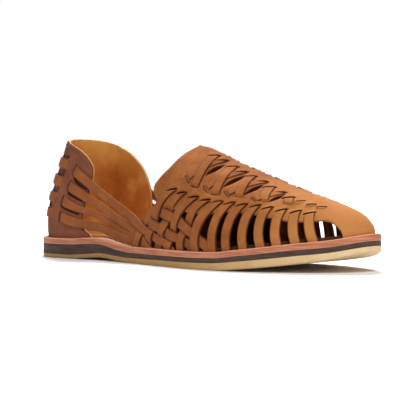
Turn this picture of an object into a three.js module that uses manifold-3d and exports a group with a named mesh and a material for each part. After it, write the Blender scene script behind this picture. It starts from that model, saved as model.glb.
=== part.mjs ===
// A woven leather huarache sandal, the right shoe of a pair, standing empty on its sole.
// Millimetres. +X points to the toe, +Y to the wearer's left (the medial side), +Z up.
// The ground is z = 0. The last, which is the foot-shaped form inside the shoe, is one
// function: lastPoint(turn, rise). turn runs round the sole's edge, 0 at the heel's back,
// 1 at the toe's tip by way of the lateral side, and 2 at the heel's back again by way of
// the medial side. rise runs up the wall, 0 at the feather edge and 1 at the ridge on top.
import * as THREE from 'three';
import { mergeVertices } from 'three/addons/utils/BufferGeometryUtils.js';
import Module from 'manifold-3d';

const wasm = await Module();
wasm.setup();

// Driving sizes
const LENGTH = 300;
const HEEL_ROUND = 34;
const TOE_ROUND = 80;
const TOE_POWER = 2.3;
const TOE_SWING = 6;
const SWING_START = 150;
const RIDGE_SWING = 0.85;
const WELT_MARGIN = 4;
const JOINT_GAP = 0.3;
const LEATHER = 2.4;
const COUNTER_WALL = 2.5;
const STRAP_THICKNESS = 2;
const STRAP_WIDTH = 7.2;
const INSOLE_THICKNESS = 2.2;
const INSOLE_CLEARANCE = 1.2;
const SOLE_STATIONS = 44;
const LATERAL = -1;
const MEDIAL = 1;

// The sole's outline, a row for each section: its half width on each side.
const outline = table(
  ['x', 'lateral', 'medial'],
  [
    [0, 32.3, 32],
    [34, 33.2, 32],
    [75, 32.2, 28],
    [112, 37.6, 27],
    [150, 46, 34.5],
    [190, 53, 44.5],
    [225, 50.5, 46.5],
    [258, 43.5, 42],
    [300, 35, 34],
  ],
  smoothSlopes,
);

// The sole's layers, a row for each section: the height of its underside over the ground,
// and the thickness of each layer. Equal rows keep the underside flat between them.
const layers = table(
  ['x', 'ground', 'outsole', 'midsole', 'welt'],
  [
    [0, 0.3, 3.1, 7.4, 4.3],
    [10, 0, 3.1, 7.4, 4.3],
    [45, 0, 3.1, 7.6, 4.4],
    [62, 1.2, 3.1, 7.4, 4.5],
    [78, 2.2, 3.4, 6.4, 4.5],
    [98, 0.6, 3.8, 4.4, 4.5],
    [115, 0, 4, 3.6, 4.5],
    [190, 0, 4.9, 3.3, 4.2],
    [202, 0, 5.2, 3.3, 4.2],
    [225, 1.8, 5.6, 3.8, 4.3],
    [258, 5.6, 5.8, 4, 4.5],
    [282, 9.4, 5, 3.8, 4.7],
    [300, 14.5, 4, 3.6, 4.8],
  ],
  flatSlopes,
);

// The last over the sole, a row for each section: where the wall ends on top (its x, half
// width and height), how far the wall goes straight up as a part of the height, how much
// it bellies out, how far the shoulder stays out beside the ridge, and how much lower the
// shoulder is, as a part of the height.
const last = table(
  ['x', 'topX', 'topHalf', 'topZ', 'straight', 'belly', 'shoulder', 'drop'],
  [
    [0, 24, 23, 91, 0.35, 4, 7.5, 0.32],
    [34, 46, 23, 91, 0.35, 2.5, 4, 0.32],
    [60, 65, 22, 90.5, 0.36, 1.5, 2, 0.3],
    [90, 94, 15, 90, 0.4, 1, 6, 0.2],
    [120, 124, 6, 89.5, 0.45, 0.5, 14, 0.12],
    [150, 150, 0, 85.5, 0.5, 0.5, 20, 0.1],
    [158, 158.3, 0, 84.3, 0.5, 0.5, 22.4, 0.1],
    [170, 171, 0, 79.5, 0.5, 0.5, 26, 0.1],
    [190, 191, 0, 71.8, 0.5, 0.5, 30, 0.1],
    [210, 210, 0, 65.5, 0.5, 0.5, 29.5, 0.1],
    [225, 224, 0, 60.3, 0.5, 0.5, 28, 0.1],
    [245, 241, 0, 54.8, 0.5, 0.5, 25.5, 0.1],
    [265, 257, 0, 50.3, 0.5, 0.5, 22, 0.1],
    [285, 270, 0, 46.8, 0.5, 0.5, 13, 0.1],
    [300, 280, 0, 44, 0.5, 0.3, 7, 0.1],
  ],
  smoothSlopes,
);

// The upper's rear edge, from the sole up round the collar opening to the tongue's peak.
const rearEdge = table(
  ['rise', 'x'],
  [
    [0, 97],
    [0.12, 98],
    [0.18, 103],
    [0.24, 113],
    [0.29, 125],
    [0.34, 131],
    [0.4, 129.5],
    [0.47, 128],
    [0.55, 132],
    [0.65, 137.5],
    [0.8, 142],
    [0.93, 146.2],
    [0.97, 147.4],
    [1, 147.7],
  ],
  smoothSlopes,
);

// The side straps from the arch to the toe, the first two being the last of the side weave.
// Each comes out of a slit at its top, in the plate over the instep, and goes under at its
// foot, on the feather edge. The medial straps widen downwards, and bend back to feet that
// are further back than the lateral ones.
const MEDIAL_FOOT_EXTRA = 2.5;
const MEDIAL_BEND = 1.8;
const sideStraps = [
  { topX: 185.2, topRise: 0.433, lateralFootX: 168.5, medialFootX: 168, width: 8.3 },
  { topX: 196, topRise: 0.447, lateralFootX: 184, medialFootX: 181.1, width: 8.3 },
  { topX: 206.3, topRise: 0.463, lateralFootX: 200.1, medialFootX: 194.2, width: STRAP_WIDTH },
  { topX: 216, topRise: 0.477, lateralFootX: 211.8, medialFootX: 208.2, width: STRAP_WIDTH },
  { topX: 226, topRise: 0.497, lateralFootX: 225, medialFootX: 221.5, width: STRAP_WIDTH },
  { topX: 235.2, topRise: 0.502, lateralFootX: 237.4, medialFootX: 234.5, width: STRAP_WIDTH },
  { topX: 245.3, topRise: 0.508, lateralFootX: 248.2, medialFootX: 246.5, width: STRAP_WIDTH },
  { topX: 255, topRise: 0.514, lateralFootX: 260, medialFootX: 259, width: STRAP_WIDTH },
  { topX: 264.1, topRise: 0.523, lateralFootX: 270.7, medialFootX: 270.5, width: STRAP_WIDTH },
];
const PLATE_EDGE_RISE = 0.37;
const SLOT_FOOT_RISE = -0.08;

// The arched cut-out between the last side strap and the toe cap.
const TOE_ARCH = [
  { x: 275.5, rise: -0.1 },
  { x: 274, rise: 0.15 },
  { x: 270.5, rise: 0.37 },
  { x: 274, rise: 0.42 },
  { x: 278.5, rise: 0.38 },
  { x: 282, rise: 0.29 },
  { x: 285, rise: 0.16 },
  { x: 286.8, rise: 0 },
  { x: 287, rise: -0.1 },
];

// The leaf-shaped openings beside the ridge, where the top straps cross.
const LEAF_HALF_WIDTH = 2;
const leafOpenings = [
  { frontX: 178, frontRise: 0.86, rearX: 172, rearRise: 0.66 },
  { frontX: 196, frontRise: 0.83, rearX: 189, rearRise: 0.63 },
  { frontX: 214, frontRise: 0.82, rearX: 206, rearRise: 0.64 },
  { frontX: 231, frontRise: 0.78, rearX: 223, rearRise: 0.64 },
];

// The heel straps, from the highest down: where each runs on the last, from the side
// weave to the heel's back. The same rows serve both sides.
const heelStraps = [
  [
    { x: 116, rise: 0.183, lift: -2 },
    { x: 100, rise: 0.259, lift: -1 },
    { x: 83, rise: 0.345, lift: 0.8 },
    { x: 65.1, rise: 0.493, lift: 0.7 },
    { x: 57.1, rise: 0.572, lift: 0.7 },
    { x: 43.5, rise: 0.69, lift: 0.7 },
    { x: 30, rise: 0.741, lift: 0.7 },
    { x: 0, rise: 0.745, lift: 0.7 },
  ],
  [
    { x: 118, rise: 0.085, lift: -2.1 },
    { x: 101.2, rise: 0.162, lift: -1.2 },
    { x: 87.9, rise: 0.211, lift: 0.7 },
    { x: 66.1, rise: 0.343, lift: 0.7 },
    { x: 54.9, rise: 0.426, lift: 0.7 },
    { x: 39.2, rise: 0.528, lift: 0.7 },
    { x: 25, rise: 0.57, lift: 0.7 },
    { x: 0, rise: 0.575, lift: 0.7 },
  ],
  [
    { x: 115, rise: 0.065, lift: -1.9 },
    { x: 100.3, rise: 0.109, lift: -1.2 },
    { x: 82.2, rise: 0.156, lift: 0.8 },
    { x: 64.3, rise: 0.231, lift: 0.7 },
    { x: 50.1, rise: 0.295, lift: 0.7 },
    { x: 34.3, rise: 0.368, lift: 0.7 },
    { x: 22, rise: 0.394, lift: 0.7 },
    { x: 0, rise: 0.395, lift: 0.7 },
  ],
  [
    { x: 112, rise: 0.054, lift: -2 },
    { x: 98, rise: 0.062, lift: -1.2 },
    { x: 85, rise: 0.072, lift: 0.6 },
    { x: 71, rise: 0.095, lift: 0.8 },
    { x: 59, rise: 0.125, lift: 0.7 },
    { x: 45.9, rise: 0.163, lift: 0.7 },
    { x: 29.6, rise: 0.222, lift: 0.7 },
    { x: 18, rise: 0.24, lift: 0.7 },
    { x: 0, rise: 0.24, lift: 0.7 },
  ],
];

// The heel counter: its top line from the heel's back to the front corner, as a part of
// the way forward, and its front edge from the sole up to that corner.
const counterTop = table(
  ['part', 'rise'],
  [
    [0, 0.975],
    [0.3, 0.963],
    [0.55, 0.93],
    [0.75, 0.876],
    [0.88, 0.81],
    [1, 0.69],
  ],
  smoothSlopes,
);
const counterFront = table(
  ['part', 'lateral', 'medial'],
  [
    [0, 64, 76],
    [0.12, 56, 78],
    [0.3, 55.5, 80.5],
    [0.55, 59, 80.5],
    [0.8, 63.5, 77],
    [1, 64.3, 71.5],
  ],
  smoothSlopes,
);

// Smooth curves through a table's rows, one for each named column.
function table(names, rows, slopesOf) {
  const stations = rows.map((row) => row[0]);
  const curves = {};
  names.slice(1).forEach((name, index) => {
    curves[name] = curve(stations, rows.map((row) => row[index + 1]), slopesOf);
  });
  return curves;
}

// Slopes at the rows from the two chords that meet there.
function smoothSlopes(widths, chords) {
  return chordMeets(chords, (before, after, i) => {
    const total = widths[i - 1] + widths[i];
    return (before * widths[i] + after * widths[i - 1]) / total;
  });
}

// Slopes that never swing past the rows, so equal rows stay level between them.
function flatSlopes(widths, chords) {
  return chordMeets(chords, (before, after) => {
    return before * after > 0 ? (2 * before * after) / (before + after) : 0;
  });
}

function chordMeets(chords, meet) {
  const inner = chords.slice(1).map((after, i) => meet(chords[i], after, i + 1));
  return [chords[0], ...inner, chords[chords.length - 1]];
}

function curve(xs, ys, slopesOf) {
  const count = xs.length;
  const widths = xs.slice(1).map((x, i) => x - xs[i]);
  const slopes = slopesOf(widths, widths.map((width, i) => (ys[i + 1] - ys[i]) / width));
  return (value) => {
    const x = Math.min(Math.max(value, xs[0]), xs[count - 1]);
    let i = 0;
    while (i < count - 2 && x > xs[i + 1]) i += 1;
    const u = (x - xs[i]) / widths[i];
    const v = 1 - u;
    const start = ys[i] * (1 + 2 * u) + slopes[i] * widths[i] * u;
    const end = ys[i + 1] * (1 + 2 * v) - slopes[i + 1] * widths[i] * v;
    return start * v * v + end * u * u;
  };
}

// The outline in plan

function roundedEnds(x) {
  if (x < HEEL_ROUND) return Math.sqrt(Math.max(0, 1 - (1 - x / HEEL_ROUND) ** 2));
  const into = (x - LENGTH + TOE_ROUND) / TOE_ROUND;
  return into <= 0 ? 1 : Math.max(0, 1 - into ** TOE_POWER) ** (1 / TOE_POWER);
}

function swing(x) {
  return TOE_SWING * Math.max(0, (x - SWING_START) / (LENGTH - SWING_START)) ** 2;
}

function sideOf(turn) {
  return turn <= 1 ? LATERAL : MEDIAL;
}

function wrapTurn(turn) {
  return ((turn % 2) + 2) % 2;
}

function outlineX(turn) {
  const along = turn <= 1 ? turn : 2 - turn;
  return (LENGTH * (1 - Math.cos(Math.PI * along))) / 2;
}

function soleOutline(anyTurn) {
  const turn = wrapTurn(anyTurn);
  const x = outlineX(turn);
  const half = sideOf(turn) === LATERAL ? outline.lateral(x) : outline.medial(x);
  return new THREE.Vector2(x, swing(x) + sideOf(turn) * half * roundedEnds(x));
}

const OUTLINE_STEP = 0.004;

function outwardInPlan(turn) {
  const ahead = soleOutline(turn + OUTLINE_STEP);
  const along = ahead.sub(soleOutline(turn - OUTLINE_STEP)).normalize();
  return new THREE.Vector2(along.y, -along.x);
}

function insetOutline(turn, inset) {
  return soleOutline(turn).addScaledVector(outwardInPlan(turn), -inset);
}

// Heights of the sole's layers

const undersideZ = (x) => layers.ground(x);
const outsoleTopZ = (x) => undersideZ(x) + layers.outsole(x);
const midsoleTopZ = (x) => outsoleTopZ(x) + layers.midsole(x);
const weltTopZ = (x) => midsoleTopZ(x) + layers.welt(x);

// The last's surface

function lastPoint(anyTurn, anyRise) {
  const crossed = anyRise > 1;
  const turn = wrapTurn(crossed ? 2 - anyTurn : anyTurn);
  const rise = crossed ? 2 - anyRise : anyRise;
  const x = outlineX(turn);
  const feather = insetOutline(turn, WELT_MARGIN);
  const outward = outwardInPlan(turn);
  const footZ = weltTopZ(feather.x) + JOINT_GAP;
  const height = last.topZ(x) - footZ;
  const topY = RIDGE_SWING * swing(x) + sideOf(turn) * last.topHalf(x) * roundedEnds(x);
  const foot = new THREE.Vector3(feather.x, feather.y, footZ);
  const top = new THREE.Vector3(last.topX(x), topY, last.topZ(x));
  const normal = new THREE.Vector3(outward.x, outward.y, 0);
  const lower = foot.clone().addScaledVector(normal, last.belly(x));
  lower.z += last.straight(x) * height;
  const upper = top.clone().addScaledVector(normal, last.shoulder(x));
  upper.z -= last.drop(x) * height;
  if (rise < 0) {
    return foot.lerp(lower, 3 * rise);
  }
  return new THREE.CubicBezierCurve3(foot, lower, upper, top).getPoint(rise);
}

// The outward direction comes from neighbouring places. Where the top is open the wall stops
// at its end; elsewhere it goes on over the ridge. The ridge closes to a point over the toe,
// so there the direction is taken a little below it.
const TURN_STEP = 0.006;
const RISE_STEP = 0.02;
const OPEN_TOP_HALF = 0.5;
const TOE_TURN_REACH = 0.12;
const TOE_TOP_RISE = 0.94;

function lastNormal(turn, rise) {
  const openTop = last.topHalf(outlineX(wrapTurn(turn))) > OPEN_TOP_HALF;
  const highest = openTop ? 1 : 2;
  const overToe = !openTop && Math.abs(wrapTurn(turn) - 1) < TOE_TURN_REACH;
  const at = overToe ? Math.min(rise, TOE_TOP_RISE) : rise;
  const along = lastPoint(turn + TURN_STEP, at).sub(lastPoint(turn - TURN_STEP, at));
  const above = lastPoint(turn, Math.min(at + RISE_STEP, highest));
  const up = above.sub(lastPoint(turn, at - RISE_STEP));
  return along.cross(up).normalize();
}

function offsetPoint(turn, rise, lift) {
  return lastPoint(turn, rise).addScaledVector(lastNormal(turn, rise), lift);
}

// The turn at which the wall is at x along the shoe, at that rise and on that side.
const HALVINGS = 26;

function turnAt(x, rise, side) {
  let low = 0;
  let high = 1;
  for (let round = 0; round < HALVINGS; round += 1) {
    const middle = (low + high) / 2;
    const turn = side === LATERAL ? middle : 2 - middle;
    if (lastPoint(turn, rise).x < x) low = middle;
    else high = middle;
  }
  const found = (low + high) / 2;
  return side === LATERAL ? found : 2 - found;
}

// Solids from points and faces

function closedGeometry(points, faces) {
  const soup = new THREE.BufferGeometry();
  soup.setAttribute('position', new THREE.Float32BufferAttribute(points.flatMap((p) => p.toArray()), 3));
  soup.setIndex(faces.flat());
  const merged = mergeVertices(soup, 1e-3);
  const index = merged.getIndex().array;
  const kept = [];
  for (let i = 0; i < index.length; i += 3) {
    const [a, b, c] = [index[i], index[i + 1], index[i + 2]];
    if (a !== b && b !== c && c !== a) kept.push(a, b, c);
  }
  merged.setIndex(kept);
  return merged;
}

function quad(a, b, c, d) {
  return [
    [a, b, c],
    [a, c, d],
  ];
}

// A solid between sections that each have the same number of points, run round in order.
function loft(sections, capped) {
  const size = sections[0].length;
  const points = sections.flat();
  const faces = [];
  for (let k = 0; k < sections.length - 1; k += 1) {
    for (let j = 0; j < size; j += 1) {
      const a = k * size + j;
      const b = k * size + ((j + 1) % size);
      faces.push(...quad(a, b, b + size, a + size));
    }
  }
  if (capped) {
    const lastStart = (sections.length - 1) * size;
    for (let j = 1; j < size - 1; j += 1) {
      faces.push([0, j + 1, j]);
      faces.push([lastStart, lastStart + j, lastStart + j + 1]);
    }
  }
  return closedGeometry(points, faces);
}

function toManifold(geometry) {
  return new wasm.Manifold(
    new wasm.Mesh({
      numProp: 3,
      vertProperties: Float32Array.from(geometry.getAttribute('position').array),
      triVerts: Uint32Array.from(geometry.getIndex().array),
    }),
  );
}

function fromManifold(solid) {
  const mesh = solid.getMesh();
  const geometry = new THREE.BufferGeometry();
  geometry.setAttribute('position', new THREE.Float32BufferAttribute(mesh.vertProperties, 3));
  geometry.setIndex(Array.from(mesh.triVerts));
  return geometry;
}

// Sole layers: each is lofted through level-topped sections from heel to toe. A profile's
// rows go up the side: how far in from the sole's outline, and the height at x.
function soleLayer(profile) {
  const sections = [];
  for (let k = 0; k <= SOLE_STATIONS; k += 1) {
    const turn = k / SOLE_STATIONS;
    const onSide = (rows, ownTurn) => rows.map(({ inset, height }) => {
      const at = insetOutline(ownTurn, inset);
      return new THREE.Vector3(at.x, at.y, height(at.x));
    });
    sections.push([...onSide([...profile].reverse(), turn), ...onSide(profile, 2 - turn)]);
  }
  return loft(sections, false);
}

const OUTSOLE_EDGE_ROUND = 1.4;
const outsoleProfile = [
  { inset: OUTSOLE_EDGE_ROUND, height: undersideZ },
  { inset: 0, height: (x) => undersideZ(x) + OUTSOLE_EDGE_ROUND },
  { inset: 0, height: (x) => outsoleTopZ(x) - JOINT_GAP },
];
const midsoleProfile = [
  { inset: 0, height: outsoleTopZ },
  { inset: 0, height: (x) => midsoleTopZ(x) - JOINT_GAP },
];
const weltProfile = [
  { inset: 0, height: midsoleTopZ },
  { inset: 0, height: weltTopZ },
];
const insoleInset = WELT_MARGIN + LEATHER + INSOLE_CLEARANCE;
const insoleProfile = [
  { inset: insoleInset, height: (x) => weltTopZ(x) + JOINT_GAP },
  { inset: insoleInset, height: (x) => weltTopZ(x) + JOINT_GAP + INSOLE_THICKNESS },
];

// The wall of the upper: plate over the instep, toe cap and side weave in one, from the
// rear edge to the toe's tip, over the ridge from the lateral side to the medial side.
const WALL_COLUMNS = 26;
const WALL_RISES = [
  0, 0.07, 0.14, 0.2, 0.25, 0.3, 0.35, 0.42, 0.5, 0.58, 0.66, 0.75, 0.84, 0.92, 0.965, 1,
];

function upperWall() {
  const lateralRises = WALL_RISES.map((rise) => ({ side: LATERAL, rise }));
  const medialRises = WALL_RISES.map((rise) => ({ side: MEDIAL, rise })).reverse().slice(1);
  const across = [...lateralRises, ...medialRises];
  const sections = [];
  for (let k = 0; k <= WALL_COLUMNS; k += 1) {
    const part = k / WALL_COLUMNS;
    const spot = ({ side, rise }) => {
      const rear = turnAt(rearEdge.x(rise), rise, side);
      return { turn: THREE.MathUtils.lerp(rear, 1, part), rise };
    };
    const outer = across.map(spot).map(({ turn, rise }) => offsetPoint(turn, rise, 0));
    const inner = across.map(spot).map(({ turn, rise }) => offsetPoint(turn, rise, -LEATHER));
    sections.push([...inner, ...outer.reverse()]);
  }
  const size = sections[0].length;
  const half = size / 2;
  const points = sections.flat();
  const faces = [];
  for (let k = 0; k < WALL_COLUMNS; k += 1) {
    for (let j = 0; j < size; j += 1) {
      const a = k * size + j;
      const b = k * size + ((j + 1) % size);
      faces.push(...quad(a, b, b + size, a + size));
    }
  }
  for (let j = 0; j < half - 1; j += 1) {
    faces.push(...quad(j, size - 1 - j, size - 2 - j, j + 1));
  }
  return toManifold(closedGeometry(points, faces));
}

// A cutter through the wall: an outline in x and rise, swept from inside to outside.
const CUT_DEPTH_IN = -5;
const CUT_DEPTH_OUT = 4;
const WALL_HEIGHT = 100;

function wallCutter(cutLine, side) {
  const flatOf = (corners) => corners.map(({ x, rise }) => new THREE.Vector2(x, rise * WALL_HEIGHT));
  const clockwise = THREE.ShapeUtils.isClockWise(flatOf(cutLine));
  const corners = clockwise ? [...cutLine].reverse() : cutLine;
  const size = corners.length;
  const turns = corners.map(({ x, rise }) => turnAt(x, Math.max(rise, 0), side));
  const layer = (lift) => corners.map(({ rise }, i) => offsetPoint(turns[i], rise, lift));
  const points = [...layer(CUT_DEPTH_IN), ...layer(CUT_DEPTH_OUT)];
  const faces = [];
  for (let i = 0; i < size; i += 1) {
    const next = (i + 1) % size;
    faces.push(...quad(i, next, next + size, i + size));
  }
  THREE.ShapeUtils.triangulateShape(flatOf(corners), []).forEach(([a, b, c]) => {
    faces.push([a, c, b]);
    faces.push([a + size, b + size, c + size]);
  });
  const outward = side === LATERAL ? faces : faces.map(([a, b, c]) => [a, c, b]);
  return toManifold(closedGeometry(points, outward));
}

// The gap between two neighbouring side straps, up to the plate's edge.
const SLOT_RISES = [SLOT_FOOT_RISE, 0.06, 0.14, 0.22, 0.3, PLATE_EDGE_RISE];

function strapEdgeX(strap, rise, side, towardToe) {
  const straight = Math.max(0, rise / strap.topRise);
  const medial = side === MEDIAL;
  const footX = medial ? strap.medialFootX : strap.lateralFootX;
  const part = medial ? straight ** MEDIAL_BEND : straight;
  const centre = THREE.MathUtils.lerp(footX, strap.topX, part);
  const width = strap.width + (medial ? MEDIAL_FOOT_EXTRA * (1 - straight) : 0);
  return centre + (towardToe ? width / 2 : -width / 2);
}

function strapSlot(behind, ahead, side) {
  const edge = (strap, towardToe) => SLOT_RISES.map((rise) => {
    return { x: strapEdgeX(strap, rise, side, towardToe), rise };
  });
  return [...edge(behind, true), ...edge(ahead, false).reverse()];
}

function leafOutline({ frontX, frontRise, rearX, rearRise }) {
  const middleX = (frontX + rearX) / 2;
  const middleRise = (frontRise + rearRise) / 2;
  return [
    { x: frontX, rise: frontRise },
    { x: middleX - LEAF_HALF_WIDTH, rise: middleRise },
    { x: rearX, rise: rearRise },
    { x: middleX + LEAF_HALF_WIDTH, rise: middleRise },
  ];
}

// A heel strap: one band from the lateral side weave round the heel to the medial one. Its
// route is a smooth curve in turn, rise and lift, so that it keeps to the last's surface.
const HEEL_STRAP_STEPS = 40;
const TURN_LENGTH = 400;
const RISE_LENGTH = 70;

function heelStrap(rows) {
  const onSide = (side) => rows.map(({ x, rise, lift }) => {
    const turn = turnAt(x, rise, side);
    const signed = side === LATERAL ? turn : turn - 2;
    return new THREE.Vector3(signed * TURN_LENGTH, rise * RISE_LENGTH, lift);
  });
  const stops = [...onSide(LATERAL), ...onSide(MEDIAL).reverse().slice(1)];
  const route = new THREE.CatmullRomCurve3(stops, false, 'centripetal');
  const placeAt = (part) => {
    const spot = route.getPointAt(Math.min(Math.max(part, 0), 1));
    const turn = spot.x / TURN_LENGTH;
    const rise = spot.y / RISE_LENGTH;
    return { place: offsetPoint(turn, rise, spot.z), normal: lastNormal(turn, rise) };
  };
  const sections = [];
  for (let k = 0; k <= HEEL_STRAP_STEPS; k += 1) {
    const { place, normal } = placeAt(k / HEEL_STRAP_STEPS);
    const ahead = placeAt((k + 0.5) / HEEL_STRAP_STEPS).place;
    const behind = placeAt((k - 0.5) / HEEL_STRAP_STEPS).place;
    const along = ahead.sub(behind).normalize();
    const across = along.cross(normal).normalize().multiplyScalar(STRAP_WIDTH / 2);
    const top = place.clone().addScaledVector(normal, STRAP_THICKNESS);
    sections.push([
      place.clone().sub(across),
      top.clone().sub(across),
      top.clone().add(across),
      place.clone().add(across),
    ]);
  }
  return toManifold(loft(sections, true));
}

function upper() {
  let solid = upperWall();
  [LATERAL, MEDIAL].forEach((side) => {
    sideStraps.slice(1).forEach((strap, i) => {
      solid = solid.subtract(wallCutter(strapSlot(sideStraps[i], strap, side), side));
    });
    solid = solid.subtract(wallCutter(TOE_ARCH, side));
    leafOpenings.forEach((leaf) => {
      solid = solid.subtract(wallCutter(leafOutline(leaf), side));
    });
  });
  heelStraps.forEach((rows) => {
    solid = solid.add(heelStrap(rows));
  });
  return fromManifold(solid);
}

// The heel counter, one wall round the heel from the lateral front edge to the medial one.
const COUNTER_COLUMNS = 28;
const COUNTER_RISES = [0, 0.12, 0.3, 0.45, 0.6, 0.75, 0.9, 1];

function heelCounter() {
  const sections = [];
  for (let k = 0; k <= COUNTER_COLUMNS; k += 1) {
    const forward = Math.abs((2 * k) / COUNTER_COLUMNS - 1);
    const side = k <= COUNTER_COLUMNS / 2 ? LATERAL : MEDIAL;
    const spot = (part) => {
      const rise = part * counterTop.rise(forward);
      const frontX = side === LATERAL ? counterFront.lateral(part) : counterFront.medial(part);
      const backX = lastPoint(0, rise).x;
      const along = 1 - Math.cos((Math.PI / 2) * forward);
      return { turn: turnAt(THREE.MathUtils.lerp(backX, frontX, along), rise, side), rise };
    };
    const spots = COUNTER_RISES.map(spot);
    const outer = spots.map(({ turn, rise }) => offsetPoint(turn, rise, 0));
    const inner = spots.map(({ turn, rise }) => offsetPoint(turn, rise, -COUNTER_WALL));
    sections.push([...outer, ...inner.reverse()]);
  }
  const size = sections[0].length;
  const faces = [];
  const capFaces = (start, flip) => {
    for (let j = 0; j < size / 2 - 1; j += 1) {
      const corners = [start + j, start + size - 1 - j, start + size - 2 - j, start + j + 1];
      faces.push(...quad(...(flip ? corners.reverse() : corners)));
    }
  };
  for (let k = 0; k < COUNTER_COLUMNS; k += 1) {
    for (let j = 0; j < size; j += 1) {
      const a = k * size + j;
      const b = k * size + ((j + 1) % size);
      faces.push(...quad(a, b, b + size, a + size));
    }
  }
  capFaces(0, false);
  capFaces(COUNTER_COLUMNS * size, true);
  return closedGeometry(sections.flat(), faces);
}

function material(color, roughness) {
  return new THREE.MeshStandardMaterial({ color, roughness, metalness: 0 });
}

const pieces = [
  ['outsole', soleLayer(outsoleProfile), material(0xbd9655, 0.7)],
  ['midsole', soleLayer(midsoleProfile), material(0x4a3b3a, 0.75)],
  ['welt', soleLayer(weltProfile), material(0xcf8464, 0.6)],
  ['insole', soleLayer(insoleProfile), material(0xc48a4b, 0.6)],
  ['heel_counter', heelCounter(), material(0x82503f, 0.85)],
  ['upper', upper(), material(0xad7445, 0.9)],
];

const sandal = new THREE.Group();
const box = new THREE.Box3();
pieces.forEach(([name, geometry, finish]) => {
  const mesh = new THREE.Mesh(geometry, finish);
  mesh.name = name;
  sandal.add(mesh);
  box.expandByObject(mesh);
});

// The origin stands under the middle of the box that holds the whole shoe.
const middle = box.getCenter(new THREE.Vector3());
sandal.children.forEach((mesh) => mesh.position.set(-middle.x, -middle.y, 0));

export default sandal;
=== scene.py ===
"""A woven leather huarache sandal, the right shoe of a pair, dressed around its CAD frame.

The shoe's own sizes are in millimetres, measured as in the part: x from the heel's back to
the toe, rise from 0 at the sole to 1 on the ridge of the instep, lift out from the leather's
outer face. Everything is turned into metres, in the frame's place, when a mesh is made.
"""

import math

import bmesh
import bpy
import numpy as np
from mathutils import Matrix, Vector, geometry, kdtree


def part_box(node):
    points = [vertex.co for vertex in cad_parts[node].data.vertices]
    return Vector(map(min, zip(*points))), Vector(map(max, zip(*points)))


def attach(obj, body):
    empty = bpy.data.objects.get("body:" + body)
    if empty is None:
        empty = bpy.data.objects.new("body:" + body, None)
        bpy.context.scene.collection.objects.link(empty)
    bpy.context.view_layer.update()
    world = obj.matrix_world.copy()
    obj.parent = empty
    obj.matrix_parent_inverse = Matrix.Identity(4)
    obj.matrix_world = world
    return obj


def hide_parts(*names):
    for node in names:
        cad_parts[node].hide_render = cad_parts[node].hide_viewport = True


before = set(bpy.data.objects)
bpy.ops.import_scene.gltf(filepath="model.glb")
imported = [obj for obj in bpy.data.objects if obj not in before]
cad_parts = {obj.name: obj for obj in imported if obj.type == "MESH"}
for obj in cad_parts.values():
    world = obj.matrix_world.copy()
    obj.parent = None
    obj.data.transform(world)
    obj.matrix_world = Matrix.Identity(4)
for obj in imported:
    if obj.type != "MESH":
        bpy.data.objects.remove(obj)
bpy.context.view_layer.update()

SEED = 7
RANDOM = np.random.default_rng(SEED)
BODY = "root"
MM = 0.001

# The sole and the last, as in the part.
LENGTH = 300.0
HEEL_ROUND = 34.0
TOE_ROUND = 80.0
TOE_POWER = 2.3
TOE_SWING = 6.0
SWING_START = 150.0
RIDGE_SWING = 0.85
WELT_MARGIN = 4.0
JOINT_GAP = 0.3
LATERAL = -1
MEDIAL = 1
SIDES = (LATERAL, MEDIAL)

OUTLINE_ROWS = (
    ("x", "lateral", "medial"),
    (0, 32.3, 32), (34, 33.2, 32), (75, 32.2, 28), (112, 37.6, 27), (150, 46, 34.5),
    (190, 53, 44.5), (225, 50.5, 46.5), (258, 43.5, 42), (300, 35, 34),
)
LAYER_ROWS = (
    ("x", "ground", "outsole", "midsole", "welt"),
    (0, 0.3, 3.1, 7.4, 4.3), (10, 0, 3.1, 7.4, 4.3), (45, 0, 3.1, 7.6, 4.4),
    (62, 1.2, 3.1, 7.4, 4.5), (78, 2.2, 3.4, 6.4, 4.5), (98, 0.6, 3.8, 4.4, 4.5),
    (115, 0, 4, 3.6, 4.5), (190, 0, 4.9, 3.3, 4.2), (202, 0, 5.2, 3.3, 4.2),
    (225, 1.8, 5.6, 3.8, 4.3), (258, 5.6, 5.8, 4, 4.5), (282, 9.4, 5, 3.8, 4.7),
    (300, 14.5, 4, 3.6, 4.8),
)
LAST_ROWS = (
    ("x", "top_x", "top_half", "top_z", "straight", "belly", "shoulder", "drop"),
    (0, 24, 23, 91, 0.35, 4, 7.5, 0.32), (34, 46, 23, 91, 0.35, 2.5, 4, 0.32),
    (60, 65, 22, 90.5, 0.36, 1.5, 2, 0.3), (90, 94, 15, 90, 0.4, 1, 6, 0.2),
    (120, 124, 6, 89.5, 0.45, 0.5, 14, 0.12), (150, 150, 0, 85.5, 0.5, 0.5, 20, 0.1),
    (158, 158.3, 0, 84.3, 0.5, 0.5, 22.4, 0.1),
    (170, 171, 0, 79.5, 0.5, 0.5, 26, 0.1), (190, 191, 0, 71.8, 0.5, 0.5, 30, 0.1),
    (210, 210, 0, 65.5, 0.5, 0.5, 29.5, 0.1), (225, 224, 0, 60.3, 0.5, 0.5, 28, 0.1),
    (245, 241, 0, 54.8, 0.5, 0.5, 25.5, 0.1), (265, 257, 0, 50.3, 0.5, 0.5, 22, 0.1),
    (285, 270, 0, 46.8, 0.5, 0.5, 13, 0.1), (300, 280, 0, 44, 0.5, 0.3, 7, 0.1),
)

# The counter: how high its collar stands, and where its front edge is, going up.
COUNTER_TOP_ROWS = (
    ("part", "rise"),
    (0, 0.975), (0.3, 0.963), (0.55, 0.93), (0.75, 0.876), (0.88, 0.81), (1, 0.69),
)
COUNTER_FRONT_ROWS = (
    ("part", "lateral", "medial"),
    (0, 64, 76), (0.12, 56, 78), (0.3, 55.5, 80.5), (0.55, 59, 80.5), (0.8, 63.5, 77),
    (1, 64.3, 71.5),
)

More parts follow.
